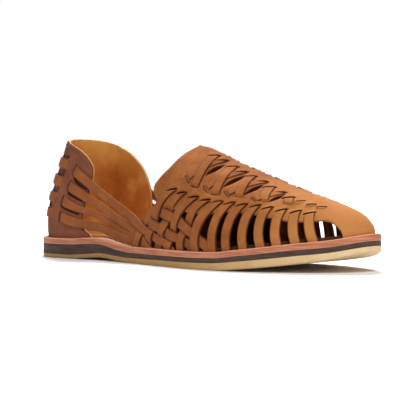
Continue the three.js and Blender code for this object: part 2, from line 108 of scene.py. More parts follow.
# Leather.
VAMP_SKIN = 1.4
VAMP_WALL = 2.3
SKIN_GAP = 0.05
STRAP_WIDTH = 7.2
UPRIGHT_WIDTH = 8.3
ARCH_WIDTH = 7.6
SLANTING_WIDTH = 6.0
BRIDGE_WIDTH = 6.2
STRAP_THICKNESS = 1.8
TOP_STRAP_THICKNESS = 1.5
COUNTER_SKIN = 1.5
COUNTER_WALL = 2.7
INSOLE_THICKNESS = 2.2
INSOLE_INSET = 7.6

# The vamp's outline in (x, rise): its rear edge from the throat's corner to the ridge, and
# its lower edge from the corner to the sole, round the opening beside the toe cap.
VAMP_REAR = (
    (134.6, 0.345), (129.4, 0.4), (128.2, 0.45), (130.6, 0.51), (137.3, 0.63),
    (142.2, 0.8), (146.2, 0.92), (147.4, 0.965), (147.7, 1),
)
VAMP_LOWER = (
    (134.6, 0.345), (138, 0.305), (150, 0.28), (165, 0.285), (186, 0.31), (203, 0.37),
    (222, 0.405), (243, 0.378),
    (256, 0.352), (264, 0.362), (270, 0.39), (274.5, 0.41), (278.6, 0.378),
    (281.6, 0.31), (284.6, 0.21), (286.6, 0.08), (287, -0.06),
)

# Side straps ahead of the weave: where each comes out of the vamp, its slit's half run along
# x and in rise, and where its foot meets the welt on the lateral and the medial side.
SIDE_STRAPS = (
    (206.3, 0.463, 3.3, 0.026, 200.1, 194.2), (216.0, 0.477, 3.1, 0.027, 211.8, 208.2),
    (226.0, 0.497, 3.0, 0.029, 225.0, 221.5), (235.2, 0.502, 2.9, 0.030, 237.4, 234.5),
    (245.3, 0.508, 2.8, 0.032, 248.2, 246.5), (255.0, 0.514, 2.7, 0.033, 260.0, 259.0),
    (264.1, 0.523, 2.7, 0.033, 270.7, 270.5),
)
# How far the first of them bows back between its ends; the others bow less and less.
SIDE_BOW = 3.4
BOW_FADES_OVER = 50.0
# On the medial side the straps widen downwards and bend back to their feet, and the last
# upright's foot is this much further back.
MEDIAL_FOOT_EXTRA = 2.5
MEDIAL_BEND = 1.8
MEDIAL_SHIFT = 3.5

# The side weave. Uprights come out of slits in the vamp and run down and back; each row is
# the slit's half run, then the route. The arch stands up behind them without a slit, turns
# over at its top and runs forward through them; the runner crosses them below it.
UPRIGHTS = (
    ((4.4, 0.017), ((148.6, 0.425), (142.8, 0.363), (139.8, 0.304), (138, 0.238),
                    (135, 0.159), (132, 0.088), (126.7, -0.04))),
    ((4.3, 0.020), ((160.6, 0.42), (156.5, 0.358), (153.4, 0.304), (151.1, 0.229),
                    (148.6, 0.156), (145.5, 0.095), (140.5, -0.04))),
    ((4.1, 0.022), ((173.6, 0.424), (168, 0.345), (163.8, 0.268), (161, 0.193),
                    (158.6, 0.126), (155.4, 0.05), (152.7, -0.04))),
    ((3.8, 0.022), ((185.2, 0.433), (180.2, 0.363), (176.7, 0.288), (174, 0.207),
                    (170.8, 0.124), (168.9, 0.042), (168, -0.04))),
    ((3.5, 0.023), ((196, 0.447), (190.6, 0.34), (187.1, 0.255), (184.9, 0.168),
                    (184.2, 0.076), (184.6, -0.04))),
)
ARCH_ROUTE = (
    (115.3, -0.04), (118.5, 0.055), (121.5, 0.12), (123.5, 0.175), (127.3, 0.228),
    (133.6, 0.262), (141.5, 0.25), (151.4, 0.23), (162, 0.208), (172.7, 0.171),
    (179.5, 0.135), (186, 0.09), (194.6, 0.04), (199, -0.04),
)
RUNNER_ROUTE = (
    (128.5, 0.188), (134.9, 0.161), (146.5, 0.124), (156.2, 0.098), (167, 0.073),
    (177.1, 0.045), (184.5, -0.04),
)

# The lining behind the weave, and its two faces' lifts.
WEAVE_LINING = (
    (118, -0.03), (121.5, 0.1), (127, 0.19), (135, 0.24), (141, 0.33), (165, 0.36), (184, 0.37),
    (186, 0.2), (184, 0.08), (184, -0.03), (150, -0.03),
)
WEAVE_LINING_LIFTS = (-3.1, -3.8)

# Heel straps, from the heel's back to their end in the weave. under is the stretch of x in
# which each passes below the counter's upright strip, narrow the x at which it has reached
# its narrow width, and stack its lifts at the two places of STACK_XS, where they come together.
STACK_XS = (70, 98)
HEEL_STRAPS = (
    {"under": (39.5, 46.8), "narrow": (83, 6.0), "stack": (1.9, 1.5), "route": (
        (0, 0.745), (20, 0.748), (27, 0.744), (35, 0.733), (43.5, 0.69), (57.1, 0.572),
        (65.1, 0.493), (83, 0.345), (100, 0.259), (113.8, 0.192), (123.8, 0.125),
        (133.3, 0.085), (143.1, 0.058), (152.7, 0.028), (160.6, -0.04))},
    {"under": (34.5, 42.5), "narrow": (80, 5.8), "stack": (1.5, 0.9), "route": (
        (0, 0.575), (15, 0.578), (22, 0.574), (29.3, 0.56), (39.2, 0.528), (54.9, 0.426),
        (66.1, 0.343), (87.9, 0.211), (101.2, 0.162), (114.8, 0.102), (122.3, 0.055),
        (135, -0.04))},
    {"under": (27.5, 37.0), "narrow": (62, 4.8), "stack": (0.2, -0.5), "route": (
        (0, 0.395), (12, 0.398), (24.3, 0.392), (34.3, 0.368), (50.1, 0.295), (64.3, 0.231),
        (82.2, 0.156), (100.3, 0.109), (112.4, 0.072), (124, -0.02))},
    {"under": (24.6, 34.6), "narrow": (90, 6.0), "stack": (1.1, 0.3), "route": (
        (0, 0.24), (10, 0.243), (20, 0.238), (29.6, 0.222), (45.9, 0.163), (59, 0.125),
        (71, 0.095), (85, 0.066), (98, 0.053), (110, 0.03), (120, -0.04))},
)

# Openings in the counter's skin between the heel straps, behind and in front of the strip
# of leather that the straps pass under.
# The counter lining's outer face shows through them in the dark back colour, painted shade.
COUNTER_WINDOWS = (
    ((24, 0.836), (40.5, 0.808), (39.5, 0.788), (25, 0.802)),
    ((20, 0.69), (38.2, 0.668), (36, 0.605), (18.5, 0.638)),
    ((14.5, 0.52), (32, 0.498), (29.8, 0.445), (14, 0.47)),
    ((13.5, 0.342), (24.5, 0.335), (23, 0.298), (13, 0.308)),
    ((46, 0.6), (60.5, 0.5), (59.5, 0.452), (47.5, 0.55)),
    ((41.5, 0.45), (56.5, 0.368), (57.2, 0.34), (41.5, 0.425)),
    ((35.5, 0.338), (53.6, 0.262), (53.8, 0.212), (35, 0.3)),
)

# The woven instep. Each row: the slit by the ridge, then where the strap tucks under again.
# The steep straps lie over the slanting ones.
STEEP_STRAPS = (
    ((167.2, 0.912), (170.6, 0.514)), ((186.3, 0.89), (191.5, 0.513)),
    ((204.8, 0.857), (210.2, 0.555)), ((223.8, 0.811), (229.1, 0.579)),
    ((242.4, 0.74), (246.6, 0.616)),
)
SLANTING_STRAPS = (
    ((175.4, 0.903), (160, 0.55)), ((196, 0.872), (180.8, 0.535)),
    ((215.2, 0.845), (200, 0.553)), ((233.7, 0.785), (221.6, 0.57)),
)
# Short bridges near the toe: the strap shows only between two slits.
BRIDGE_STRAPS = (
    ((251.6, 0.735), (251.8, 0.66)), ((260, 0.724), (260.6, 0.655)),
    ((267, 0.71), (267.8, 0.65)),
)
# Pointed openings between the straps: front end, rear end.
LEAF_OPENINGS = (
    ((180, 0.866), (174, 0.67)), ((200.8, 0.842), (194.2, 0.624)),
    ((218.7, 0.818), (212.9, 0.604)), ((237.6, 0.765), (232.7, 0.6)),
)

# A flat chart of the last: how many millimetres one turn and one rise stand for.
TURN_MM = 400.0
RISE_MM = 75.0

# Steps of turn and rise from which the outline's and the last's directions are worked out.
PLAN_STEP = 0.004
TURN_STEP, RISE_STEP = 0.006, 0.02
NEAR_TOE, TOE_RISE = 0.12, 0.94


def curve(xs, ys, flat=False):
    """Cubic pieces through the points. flat keeps the curve level between equal heights."""
    xs, ys = np.asarray(xs, float), np.asarray(ys, float)
    widths = np.diff(xs)
    chords = np.diff(ys) / widths
    before, after = chords[:-1], chords[1:]
    if flat:
        total = np.where(before + after == 0, 1, before + after)
        inner = np.where(before * after > 0, 2 * before * after / total, 0)
    else:
        inner = (before * widths[1:] + after * widths[:-1]) / (widths[:-1] + widths[1:])
    slopes = np.concatenate([chords[:1], inner, chords[-1:]])

    def at(value):
        x = np.clip(value, xs[0], xs[-1])
        i = np.clip(np.searchsorted(xs, x, side="left") - 1, 0, len(xs) - 2)
        u = (x - xs[i]) / widths[i]
        v = 1 - u
        start = ys[i] * (1 + 2 * u) + slopes[i] * widths[i] * u
        end = ys[i + 1] * (1 + 2 * v) - slopes[i + 1] * widths[i] * v
        return start * v * v + end * u * u

    return at


def table(rows, flat=False):
    """A smooth curve for each named column, over the first one."""
    data = np.array(rows[1:], float)
    return {name: curve(data[:, 0], data[:, i], flat) for i, name in enumerate(rows[0]) if i}


outline = table(OUTLINE_ROWS)
layers = table(LAYER_ROWS, flat=True)
last = table(LAST_ROWS)
counter_top = table(COUNTER_TOP_ROWS)
counter_front = table(COUNTER_FRONT_ROWS)


def unit(vectors):
    return vectors / np.linalg.norm(vectors, axis=-1, keepdims=True)


def left_of(along):
    """Flat directions turned a quarter turn to the left."""
    return np.stack([-along[..., 1], along[..., 0]], -1)


def rounded_ends(x):
    heel = np.sqrt(np.clip(1 - (1 - x / HEEL_ROUND) ** 2, 0, 1))
    into = np.clip((x - LENGTH + TOE_ROUND) / TOE_ROUND, 0, 1)
    toe = np.clip(1 - into**TOE_POWER, 0, 1) ** (1 / TOE_POWER)
    return np.where(x < HEEL_ROUND, heel, toe)


def swing(x):
    return TOE_SWING * np.clip((x - SWING_START) / (LENGTH - SWING_START), 0, None) ** 2


def outline_x(turn):
    along = np.where(turn <= 1, turn, 2 - turn)
    return LENGTH * (1 - np.cos(math.pi * along)) / 2


def sole_outline(any_turn):
    turn = np.mod(any_turn, 2)
    x = outline_x(turn)
    side = np.where(turn <= 1, LATERAL, MEDIAL)
    half = np.where(turn <= 1, outline["lateral"](x), outline["medial"](x))
    return np.stack([x, swing(x) + side * half * rounded_ends(x)], -1)


def outward_in_plan(turn):
    along = unit(sole_outline(turn + PLAN_STEP) - sole_outline(turn - PLAN_STEP))
    return np.stack([along[..., 1], -along[..., 0]], -1)


def inset_outline(turn, inset):
    return sole_outline(turn) - inset * outward_in_plan(turn)


def ground_z(x):
    return layers["ground"](x)


def outsole_top_z(x):
    return ground_z(x) + layers["outsole"](x)


def midsole_top_z(x):
    return outsole_top_z(x) + layers["midsole"](x)


def welt_top_z(x):
    return midsole_top_z(x) + layers["welt"](x)


UP = np.array([0.0, 0.0, 1.0])


def last_point(any_turn, any_rise):
    """The leather's outer face. turn is 0 at the heel's back, 1 at the toe, 2 at the heel."""
    crossed = any_rise > 1
    turn = np.mod(np.where(crossed, 2 - any_turn, any_turn), 2)
    rise = np.where(crossed, 2 - any_rise, any_rise)[..., None]
    x = outline_x(turn)
    side = np.where(turn <= 1, LATERAL, MEDIAL)
    feather = inset_outline(turn, WELT_MARGIN)
    foot_z = welt_top_z(feather[..., 0]) + JOINT_GAP
    height = last["top_z"](x) - foot_z
    top_half = np.maximum(last["top_half"](x), 0) * rounded_ends(x)
    top_y = RIDGE_SWING * swing(x) + side * top_half
    top = np.stack([last["top_x"](x), top_y, last["top_z"](x)], -1)
    foot = np.concatenate([feather, foot_z[..., None]], -1)
    outward = np.concatenate([outward_in_plan(turn), 0 * foot_z[..., None]], -1)
    lower = foot + outward * last["belly"](x)[..., None]
    lower = lower + UP * (last["straight"](x) * height)[..., None]
    upper = top + outward * last["shoulder"](x)[..., None]
    upper = upper - UP * (last["drop"](x) * height)[..., None]
    v = 1 - rise
    wall = v**3 * foot + 3 * v * v * rise * lower + 3 * v * rise * rise * upper + rise**3 * top
    return np.where(rise < 0, foot + (lower - foot) * 3 * rise, wall)


def last_normal(turn, rise):
    """The surface's outward direction; near the toe, never that of the ridge's very end."""
    wrapped = np.mod(turn, 2)
    open_top = last["top_half"](outline_x(wrapped)) > 0.5
    near_toe = ~open_top & (np.abs(wrapped - 1) < NEAR_TOE)
    at = np.where(near_toe, np.minimum(rise, TOE_RISE), rise)
    along = last_point(turn + TURN_STEP, at) - last_point(turn - TURN_STEP, at)
    above = last_point(turn, np.minimum(at + RISE_STEP, np.where(open_top, 1, 2)))
    return unit(np.cross(along, above - last_point(turn, at - RISE_STEP)))


class Last:
    """The last's surface, looked up by a signed turn (lateral above 0, medial below) and rise."""

    turns = np.linspace(0, 1, 401)
    rises = np.linspace(-0.16, 1, 88)

    def __init__(self):
        self.walls = {}
        for side in SIDES:
            turns = self.turns if side == LATERAL else np.minimum(2 - self.turns, 1.99999)
            grid = np.meshgrid(turns, self.rises, indexing="ij")
            self.walls[side] = (last_point(*grid), last_normal(*grid))

    def turn_at(self, x, rise, side):
        """The signed turn at which the wall on that side reaches x at that rise."""
        row = (rise - self.rises[0]) / (self.rises[1] - self.rises[0])
        j = int(np.clip(row, 0, len(self.rises) - 2))
        points = self.walls[side][0]
        xs = points[:, j, 0] + (points[:, j + 1, 0] - points[:, j, 0]) * (row - j)
        return -side * float(np.interp(x, xs, self.turns))

    def look_up(self, turns, rises):
        """Points of the leather's outer face and their outward directions."""
        turns, rises = np.asarray(turns, float), np.asarray(rises, float)
        u = np.clip(np.abs(turns), 0, 1) * (len(self.turns) - 1)
        v = (rises - self.rises[0]) / (self.rises[1] - self.rises[0])
        v = np.clip(v, 0, len(self.rises) - 1.0001)
        i, j = np.minimum(u.astype(int), len(self.turns) - 2), v.astype(int)
        fu, fv = (u - i)[..., None], (v - j)[..., None]
        lateral = (turns >= 0)[..., None]

        def mix(which):
            found = []
            for side in SIDES:
                grid = self.walls[side][which]
                low = grid[i, j] * (1 - fv) + grid[i, j + 1] * fv
                high = grid[i + 1, j] * (1 - fv) + grid[i + 1, j + 1] * fv
                found.append(low * (1 - fu) + high * fu)
            return np.where(lateral, *found)

        return mix(0), unit(mix(1))

    def place(self, turns, rises, lifts):
        points, normals = self.look_up(turns, rises)
        return points + normals * np.broadcast_to(lifts, np.shape(turns))[..., None]


LAST = Last()

WELT_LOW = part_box("welt")[0]
OUTLINE_LOW = sole_outline(np.linspace(0, 2, 2001)).min(0)
FRAME_ORIGIN = np.array([WELT_LOW.x / MM - OUTLINE_LOW[0], WELT_LOW.y / MM - OUTLINE_LOW[1], 0])


# ---------------------------------------------------------------- meshes

class Parts:
    """Meshes gathered into one: points, faces and the numbers that the materials read.

    edge marks cut leather, in the nubuck painted darker partly as shade, on rounded sole edges a
    painted highlight; back its inner face, painted dark partly as shade; tone how much of the
    redder toned colour a strap has.
    """

    def __init__(self, attributes=("edge", "back", "tone")):
        self.points = []
        self.faces = []
        self.values = {name: [] for name in attributes}
        self.count = 0

    def add(self, points, faces, **values):
        self.points.append(points)
        self.faces.extend(tuple(i + self.count for i in face) for face in faces)
        for name, gathered in self.values.items():
            gathered.append(np.broadcast_to(values.get(name, 0.0), len(points)))
        self.count += len(points)


SHARP_DEGREES = 38
SOLE_WELD, VAMP_WELD = 0.02, 0.03


def make_piece(name, parts, finish, replaces=(), weld=None):
    """One piece on the frame. weld is how close in millimetres points are joined."""
    points = (np.concatenate(parts.points) + FRAME_ORIGIN) * MM
    mesh = bpy.data.meshes.new(name)
    mesh.from_pydata(points.tolist(), [], parts.faces)
    for attribute, values in parts.values.items():
        layer = mesh.attributes.new(attribute, "FLOAT", "POINT")
        layer.data.foreach_set("value", np.concatenate(values).astype(np.float32))
    if weld:
        shape = bmesh.new()
        shape.from_mesh(mesh)
        bmesh.ops.remove_doubles(shape, verts=shape.verts, dist=weld * MM)
        shape.to_mesh(mesh)
        shape.free()
    mesh.shade_smooth()
    mesh.set_sharp_from_angle(angle=math.radians(SHARP_DEGREES))
    piece = bpy.data.objects.new(name, mesh)
    bpy.context.scene.collection.objects.link(piece)
    mesh.materials.append(finish)
    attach(piece, BODY)
    for node in replaces:
        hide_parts(node)


def ring_faces(sections, size, capped=True):
    """Faces over sections of equal rings, one after another."""
    faces = []
    for k in range(sections - 1):
        for j in range(size):
            a, b = k * size + j, k * size + (j + 1) % size
            faces.append((a, b, b + size, a + size))
    if capped:
        faces.append(tuple(range(size - 1, -1, -1)))
        faces.append(tuple((sections - 1) * size + j for j in range(size)))
    return faces


def distance_along(points):
    steps = np.linalg.norm(np.diff(points, axis=0), axis=1)
    return np.concatenate([[0], np.cumsum(steps)])


def path(points, step, fewest, through):
    """Points every step along the given ones, joined in the way that through says."""
    points = np.asarray(points, float)
    reach = distance_along(points)
    at = np.linspace(0, reach[-1], max(fewest, int(round(reach[-1] / step)) + 1))
    return np.stack([through(at, reach, column) for column in points.T], 1)


def smooth_path(points, step):
    return path(points, step, 3, lambda at, reach, column: curve(reach, column)(at))


def straight_path(points, step):
    return path(points, step, 2, np.interp)


def ease(value):
    value = np.clip(value, 0, 1)
    return value * value * (3 - 2 * value)


def through_knots(reach, knots):
    """A height along a strap that eases from each (distance, height) knot to the next."""
    knots = sorted(knots)
    heights = np.full(len(reach), float(knots[0][1]))
    for (start, low), (end, high) in zip(knots[:-1], knots[1:]):
        heights += (high - low) * ease((reach - start) / max(end - start, 0.01))
    return heights


def wander(u, v, seed):
    """Slow unevenness of hand-cut leather, about -1 to 1, over a chart in millimetres."""
    dice = np.random.default_rng(seed)
    total = 0
    for _ in range(5):
        angle, length = dice.uniform(0, math.tau), dice.uniform(16, 45)
        phase = dice.uniform(0, math.tau)
        along = u * math.cos(angle) + v * math.sin(angle)
        total = total + np.sin(math.tau * along / length + phase)
    return total / 3


# ---------------------------------------------------------------- charts

def heel_chart(x, rise, side):
    """A flat place in millimetres, right way up seen from outside, for the heel's leather."""
    return np.array([LAST.turn_at(x, rise, side) * TURN_MM, rise * RISE_MM])


def heel_unchart(flat):
    return flat[:, 0] / TURN_MM, flat[:, 1] / RISE_MM


def vamp_chart(x, rise, side):
    """The same for the vamp, with the ridge along v = 0 and the lateral side below it."""
    return np.array([abs(LAST.turn_at(x, rise, side)) * TURN_MM, side * (1 - rise) * RISE_MM])


def vamp_unchart(flat):
    turns = flat[:, 0] / TURN_MM
    return np.where(flat[:, 1] > 0, -turns, turns), 1 - np.abs(flat[:, 1]) / RISE_MM


def charted(chart, places, side):
    return [chart(x, rise, side) for x, rise in places]


def enclosed(points, loop):
    """Whether each point is inside a closed loop, by counting crossings."""
    x, y = points[:, 0][:, None], points[:, 1][:, None]
    ax, ay = loop[:, 0], loop[:, 1]
    bx, by = np.roll(ax, -1), np.roll(ay, -1)
    spans = (ay > y) != (by > y)
    slope = np.where(by == ay, 1, by - ay)
    return (spans & (x < (bx - ax) * (y - ay) / slope + ax)).sum(1) % 2 == 1


def within(points, loops):
    """Whether each point is inside the first loop and in none of the holes after it."""
    kept = enclosed(points, loops[0])
    for hole in loops[1:]:
        kept &= ~enclosed(points, hole)
    return kept


def distances_to(targets, points):
    """How far each flat point is from the nearest target."""
    tree = kdtree.KDTree(len(targets))
    for k, (u, v) in enumerate(targets):
        tree.insert((u, v, 0), k)
    tree.balance()
    return np.array([tree.find((u, v, 0))[2] for u, v in points])


def signed_area(loop):
    x, y = loop[:, 0], loop[:, 1]
    return 0.5 * np.sum(x * np.roll(y, -1) - np.roll(x, -1) * y)


def inset_loop(loop, distance):
    """A closed loop moved to its left side by a distance."""
    along = unit(np.roll(loop, -1, 0) - np.roll(loop, 1, 0) + 1e-9)
    return loop + distance * left_of(along)


class Slit:
    """A slit that a strap dives through, or comes out of, on a chart."""

    width = 0.75
    bow = 0.3
    overrun = 1.0
    lift = 0.95
    press = 0.3
    # How soon the lift, the press and both of them beside the slit's ends fade out.
    lifted_over, pressed_over, beside_over = 3.2, 2, 1.6

    def __init__(self, middle, end, into):
        self.middle = np.asarray(middle, float)
        self.half = np.asarray(end, float) - self.middle
        self.length = np.linalg.norm(self.half)
        self.along = self.half / self.length
        across = left_of(self.along)
        self.across = across * np.sign(across @ into)

    def loop(self):
        """A narrow leaf with blunt ends, a little bowed towards the covering leather."""
        angles = np.linspace(0, math.tau, 28, endpoint=False)
        far = np.cos(angles)[:, None] * (self.half + self.along * self.overrun)
        bow = self.bow * (1 - np.cos(angles) ** 2) + self.width / 2 * np.sin(angles)
        return self.middle + far + bow[:, None] * self.across

    def relief(self, flat):
        """Leather lifted where the strap is under it, and pressed in where it comes out."""
        away = flat - self.middle
        across = away @ self.across
        beside = np.clip(np.abs(away @ self.along) - self.length + 1, 0, None)
        lifted = self.lift * np.exp(-((across / self.lifted_over) ** 2))
        pressed = -self.press * np.exp(-((across / self.pressed_over) ** 2))
        fade = np.exp(-((beside / self.beside_over) ** 2))
        return np.where(across > 0, lifted, pressed) * fade


class Sheet:
    """A panel of leather cut from the last's surface: an outer loop, holes and reliefs."""

    step, row_share = 2.2, 0.87
    edge_step, edge_clear = 1.1, 0.75
    ring_inset, ring_clear = 0.55, 0.85
    even_by_seam = 20
    touching = 0.05

    def __init__(self, unchart, border, holes, slits=(), seam_u=None, seed=1, uneven=0.12):
        self.unchart = unchart
        self.slits = slits
        self.seam_u = seam_u
        self.seed = seed
        self.uneven = uneven
        border = border if signed_area(border) > 0 else border[::-1]
        loops = [border] + [h if signed_area(h) < 0 else h[::-1] for h in holes]
        self.edge = np.concatenate(loops)
        sizes = [len(loop) for loop in loops]
        starts = np.cumsum([0] + sizes[:-1])
        edges = [(s + k, s + (k + 1) % n) for s, n in zip(starts, sizes) for k in range(n)]
        flat = [Vector(p) for p in np.concatenate([self.edge, self.fill(loops)])]
        made = geometry.delaunay_2d_cdt(flat, edges, [], 0, 1e-5)
        self.flat = np.array([tuple(p) for p in made[0]])
        faces = np.array(made[2])
        self.faces = faces[within(self.flat[faces].mean(1), loops)]
        self.rim = self.rim_edges()
        self.on_border = distances_to(border, self.flat) < self.touching

    def fill(self, loops):
        """Points between the loops: a ring beside each, and an even grid clear of them."""
        low, high = loops[0].min(0), loops[0].max(0)
        grid = []
        for k, v in enumerate(np.arange(low[1], high[1], self.step * self.row_share)):
            us = np.arange(low[0] + (k % 2) * self.step / 2, high[0], self.step)
            grid.append(np.stack([us, np.full(len(us), v)], 1))
        grid = np.concatenate(grid)
        rings = np.concatenate([inset_loop(loop, self.ring_inset) for loop in loops])
        taken = np.concatenate([self.edge, rings])
        clear = distances_to(taken, grid) > self.edge_clear * self.edge_step
        apart = distances_to(self.edge, rings) > self.ring_clear * self.ring_inset
        points = np.concatenate([grid[clear], rings[apart]])
        return points[within(points, loops)]

    def rim_edges(self):
        """Edges with a face on one side only, without those on the panel's seam."""
        seen = {edge: True for a, b, c in self.faces for edge in ((a, b), (b, c), (c, a))}
        rim = [edge for edge in seen if (edge[1], edge[0]) not in seen]
        if self.seam_u is None:
            return rim
        on_seam = np.abs(self.flat[:, 0] - self.seam_u) < 0.01
        return [(a, b) for a, b in rim if not (on_seam[a] and on_seam[b])]

    def height(self):
        """How far the leather lies off the last: uneven, and shaped round its slits."""
        total = self.uneven * wander(self.flat[:, 0], self.flat[:, 1], self.seed)
        if self.seam_u is not None:
            total = total * ease((self.seam_u - self.flat[:, 0]) / self.even_by_seam)
        for slit in self.slits:
            total = total + slit.relief(self.flat)
        return total

    def layer(self, parts, top, bottom, edge_drop=0.35, back=(0, 1), border_cut=0):
        """Adds the panel's leather between two lifts, with softly rounded cut edges."""
        turns, rises = self.unchart(self.flat)
        rim = np.zeros(len(self.flat))
        rim[np.unique(np.array(self.rim))] = 1
        cut = rim * np.where(self.on_border, border_cut, 1)
        plain = np.where(self.on_border, 0, 1)
        backs = np.concatenate([back[0] * plain, back[1] * plain])
        height = self.height()
        outer = LAST.place(turns, rises, top + height - edge_drop * rim)
        inner = LAST.place(turns, rises, bottom + height)
        size = len(self.flat)
        faces = [tuple(f) for f in self.faces]
        faces += [(c + size, b + size, a + size) for a, b, c in self.faces]
        faces += [(b, a, a + size, b + size) for a, b in self.rim]
        points = np.concatenate([outer, inner])
        parts.add(points, faces, edge=np.concatenate([cut, cut]), back=backs)


# ---------------------------------------------------------------- straps

# A strap's section, going round: share of the half width, and millimetres below its top.
SECTION = (
    (-1, -0.6), (-0.985, -0.24), (-0.92, -0.05), (-0.78, 0.03), (-0.4, 0.09), (0, 0.1),
    (0.4, 0.09), (0.78, 0.03), (0.92, -0.05), (0.985, -0.24), (1, -0.6), (1, -1.3),
    (0.94, -1.8), (0, -1.8), (-0.94, -1.8), (-1, -1.3),
)


class Strap:
    """A flat leather strap that follows a route of signed turns and rises over the last.

    knots are the heights it passes through, slants the places where its sections lean to lie
    along a slit; both go by the distance along the strap.
    """

    step = 1.1
    meets_within = 2.5
    wave, width_wave = 0.1, 0.025
    # Where the edge colour starts across the strap and how soon it is full: cut leather, and
    # painted shade along the edges.
    edge_from, edge_over = 0.78, 0.2

    def __init__(self, places, width=STRAP_WIDTH, thickness=STRAP_THICKNESS, tone=0.0):
        flat = smooth_path([(t * TURN_MM, r * RISE_MM) for t, r in places], self.step)
        self.turns, self.rises = flat[:, 0] / TURN_MM, flat[:, 1] / RISE_MM
        self.points, self.normals = LAST.look_up(self.turns, self.rises)
        self.reach = distance_along(self.points)
        self.width = width
        self.thickness = thickness
        self.tone = tone
        self.knots = []
        self.slants = []

    def meet(self, other):
        """Distances along this strap and the other where they cross, or None."""
        gaps = np.linalg.norm(self.points[:, None] - other.points[None], axis=2)
        i, j = np.unravel_index(gaps.argmin(), gaps.shape)
        if gaps[i, j] > self.meets_within:
            return None
        return self.reach[i], other.reach[j]

    def reach_at_x(self, x, side=LATERAL):
        """The distance along the strap at which it is at x on that side."""
        right_side = self.turns >= 0 if side == LATERAL else self.turns <= 0
        gaps = np.where(right_side, np.abs(self.points[:, 0] - x), np.inf)
        return self.reach[gaps.argmin()]

    def reach_at_rise(self, rise):
        """The distance along the strap at which it is at that rise."""
        return self.reach[np.abs(self.rises - rise).argmin()]

    def slant(self, reach, run, most):
        """At that distance the strap's sections lie along run, a direction in space."""
        k = np.abs(self.reach - reach).argmin()
        along = unit(np.gradient(self.points, axis=0))[k]
        across = np.cross(along, self.normals[k])
        amount = (run @ along) / (run @ across)
        self.slants.append((reach, float(np.clip(amount, -most, most))))

    def shifted(self, vectors, distance):
        """The vectors found that much further along the strap."""
        reach = self.reach + distance
        return np.stack([np.interp(reach, self.reach, column) for column in vectors.T], 1)

    def build(self, parts, dark_edge=1):
        """Adds the strap's solid. Its slight waviness goes by the place it starts from."""
        start = int(self.points[0, 0] * 100 + self.points[0, 1] * 10)
        dice = np.random.default_rng(start % 99991)
        lifts = through_knots(self.reach, self.knots)
        lifts = lifts + self.wave * np.sin(self.reach / dice.uniform(5, 8) + dice.uniform(0, 6))
        along = unit(np.gradient(self.points + self.normals * lifts[:, None], axis=0))
        across = unit(np.cross(along, self.normals))
        up = np.cross(across, along)
        skew = np.zeros(len(lifts))
        for reach, amount in self.slants:
            fade = SLANT_FADE * max(1, abs(amount))
            skew += amount * (1 - ease(np.abs(self.reach - reach) / fade))
        waving = np.sin(self.reach / 7 + dice.uniform(0, 6))
        half = self.width / 2 * (1 + self.width_wave * waving)
        rows = []
        for share, below in SECTION:
            out = half * share
            base = self.shifted(self.points, out * skew)
            normal = self.shifted(self.normals, out * skew)
            depth = below * self.thickness / STRAP_THICKNESS
            rows.append(base + normal * lifts[:, None] + across * out[:, None] + up * depth)
        points = np.stack(rows, 1).reshape(-1, 3)
        # Cut leather and painted shade: the sides and the outer band of the top darkened by the
        # edge colour.
        outer = np.abs([share for share, _ in SECTION]) - self.edge_from
        edge = dark_edge * np.tile(np.clip(outer / self.edge_over, 0, 1), len(lifts))
        faces = ring_faces(len(lifts), len(SECTION))
        parts.add(points, faces, edge=edge, tone=self.tone)


# ---------------------------------------------------------------- materials

def colour(red, green, blue):
    """A colour given as it looks on a screen, 0 to 255, in the shader's linear numbers."""
    linear = [((c / 255 + 0.055) / 1.055) ** 2.4 if c > 10 else c / 255 / 12.92
              for c in (red, green, blue)]
    return (*linear, 1.0)


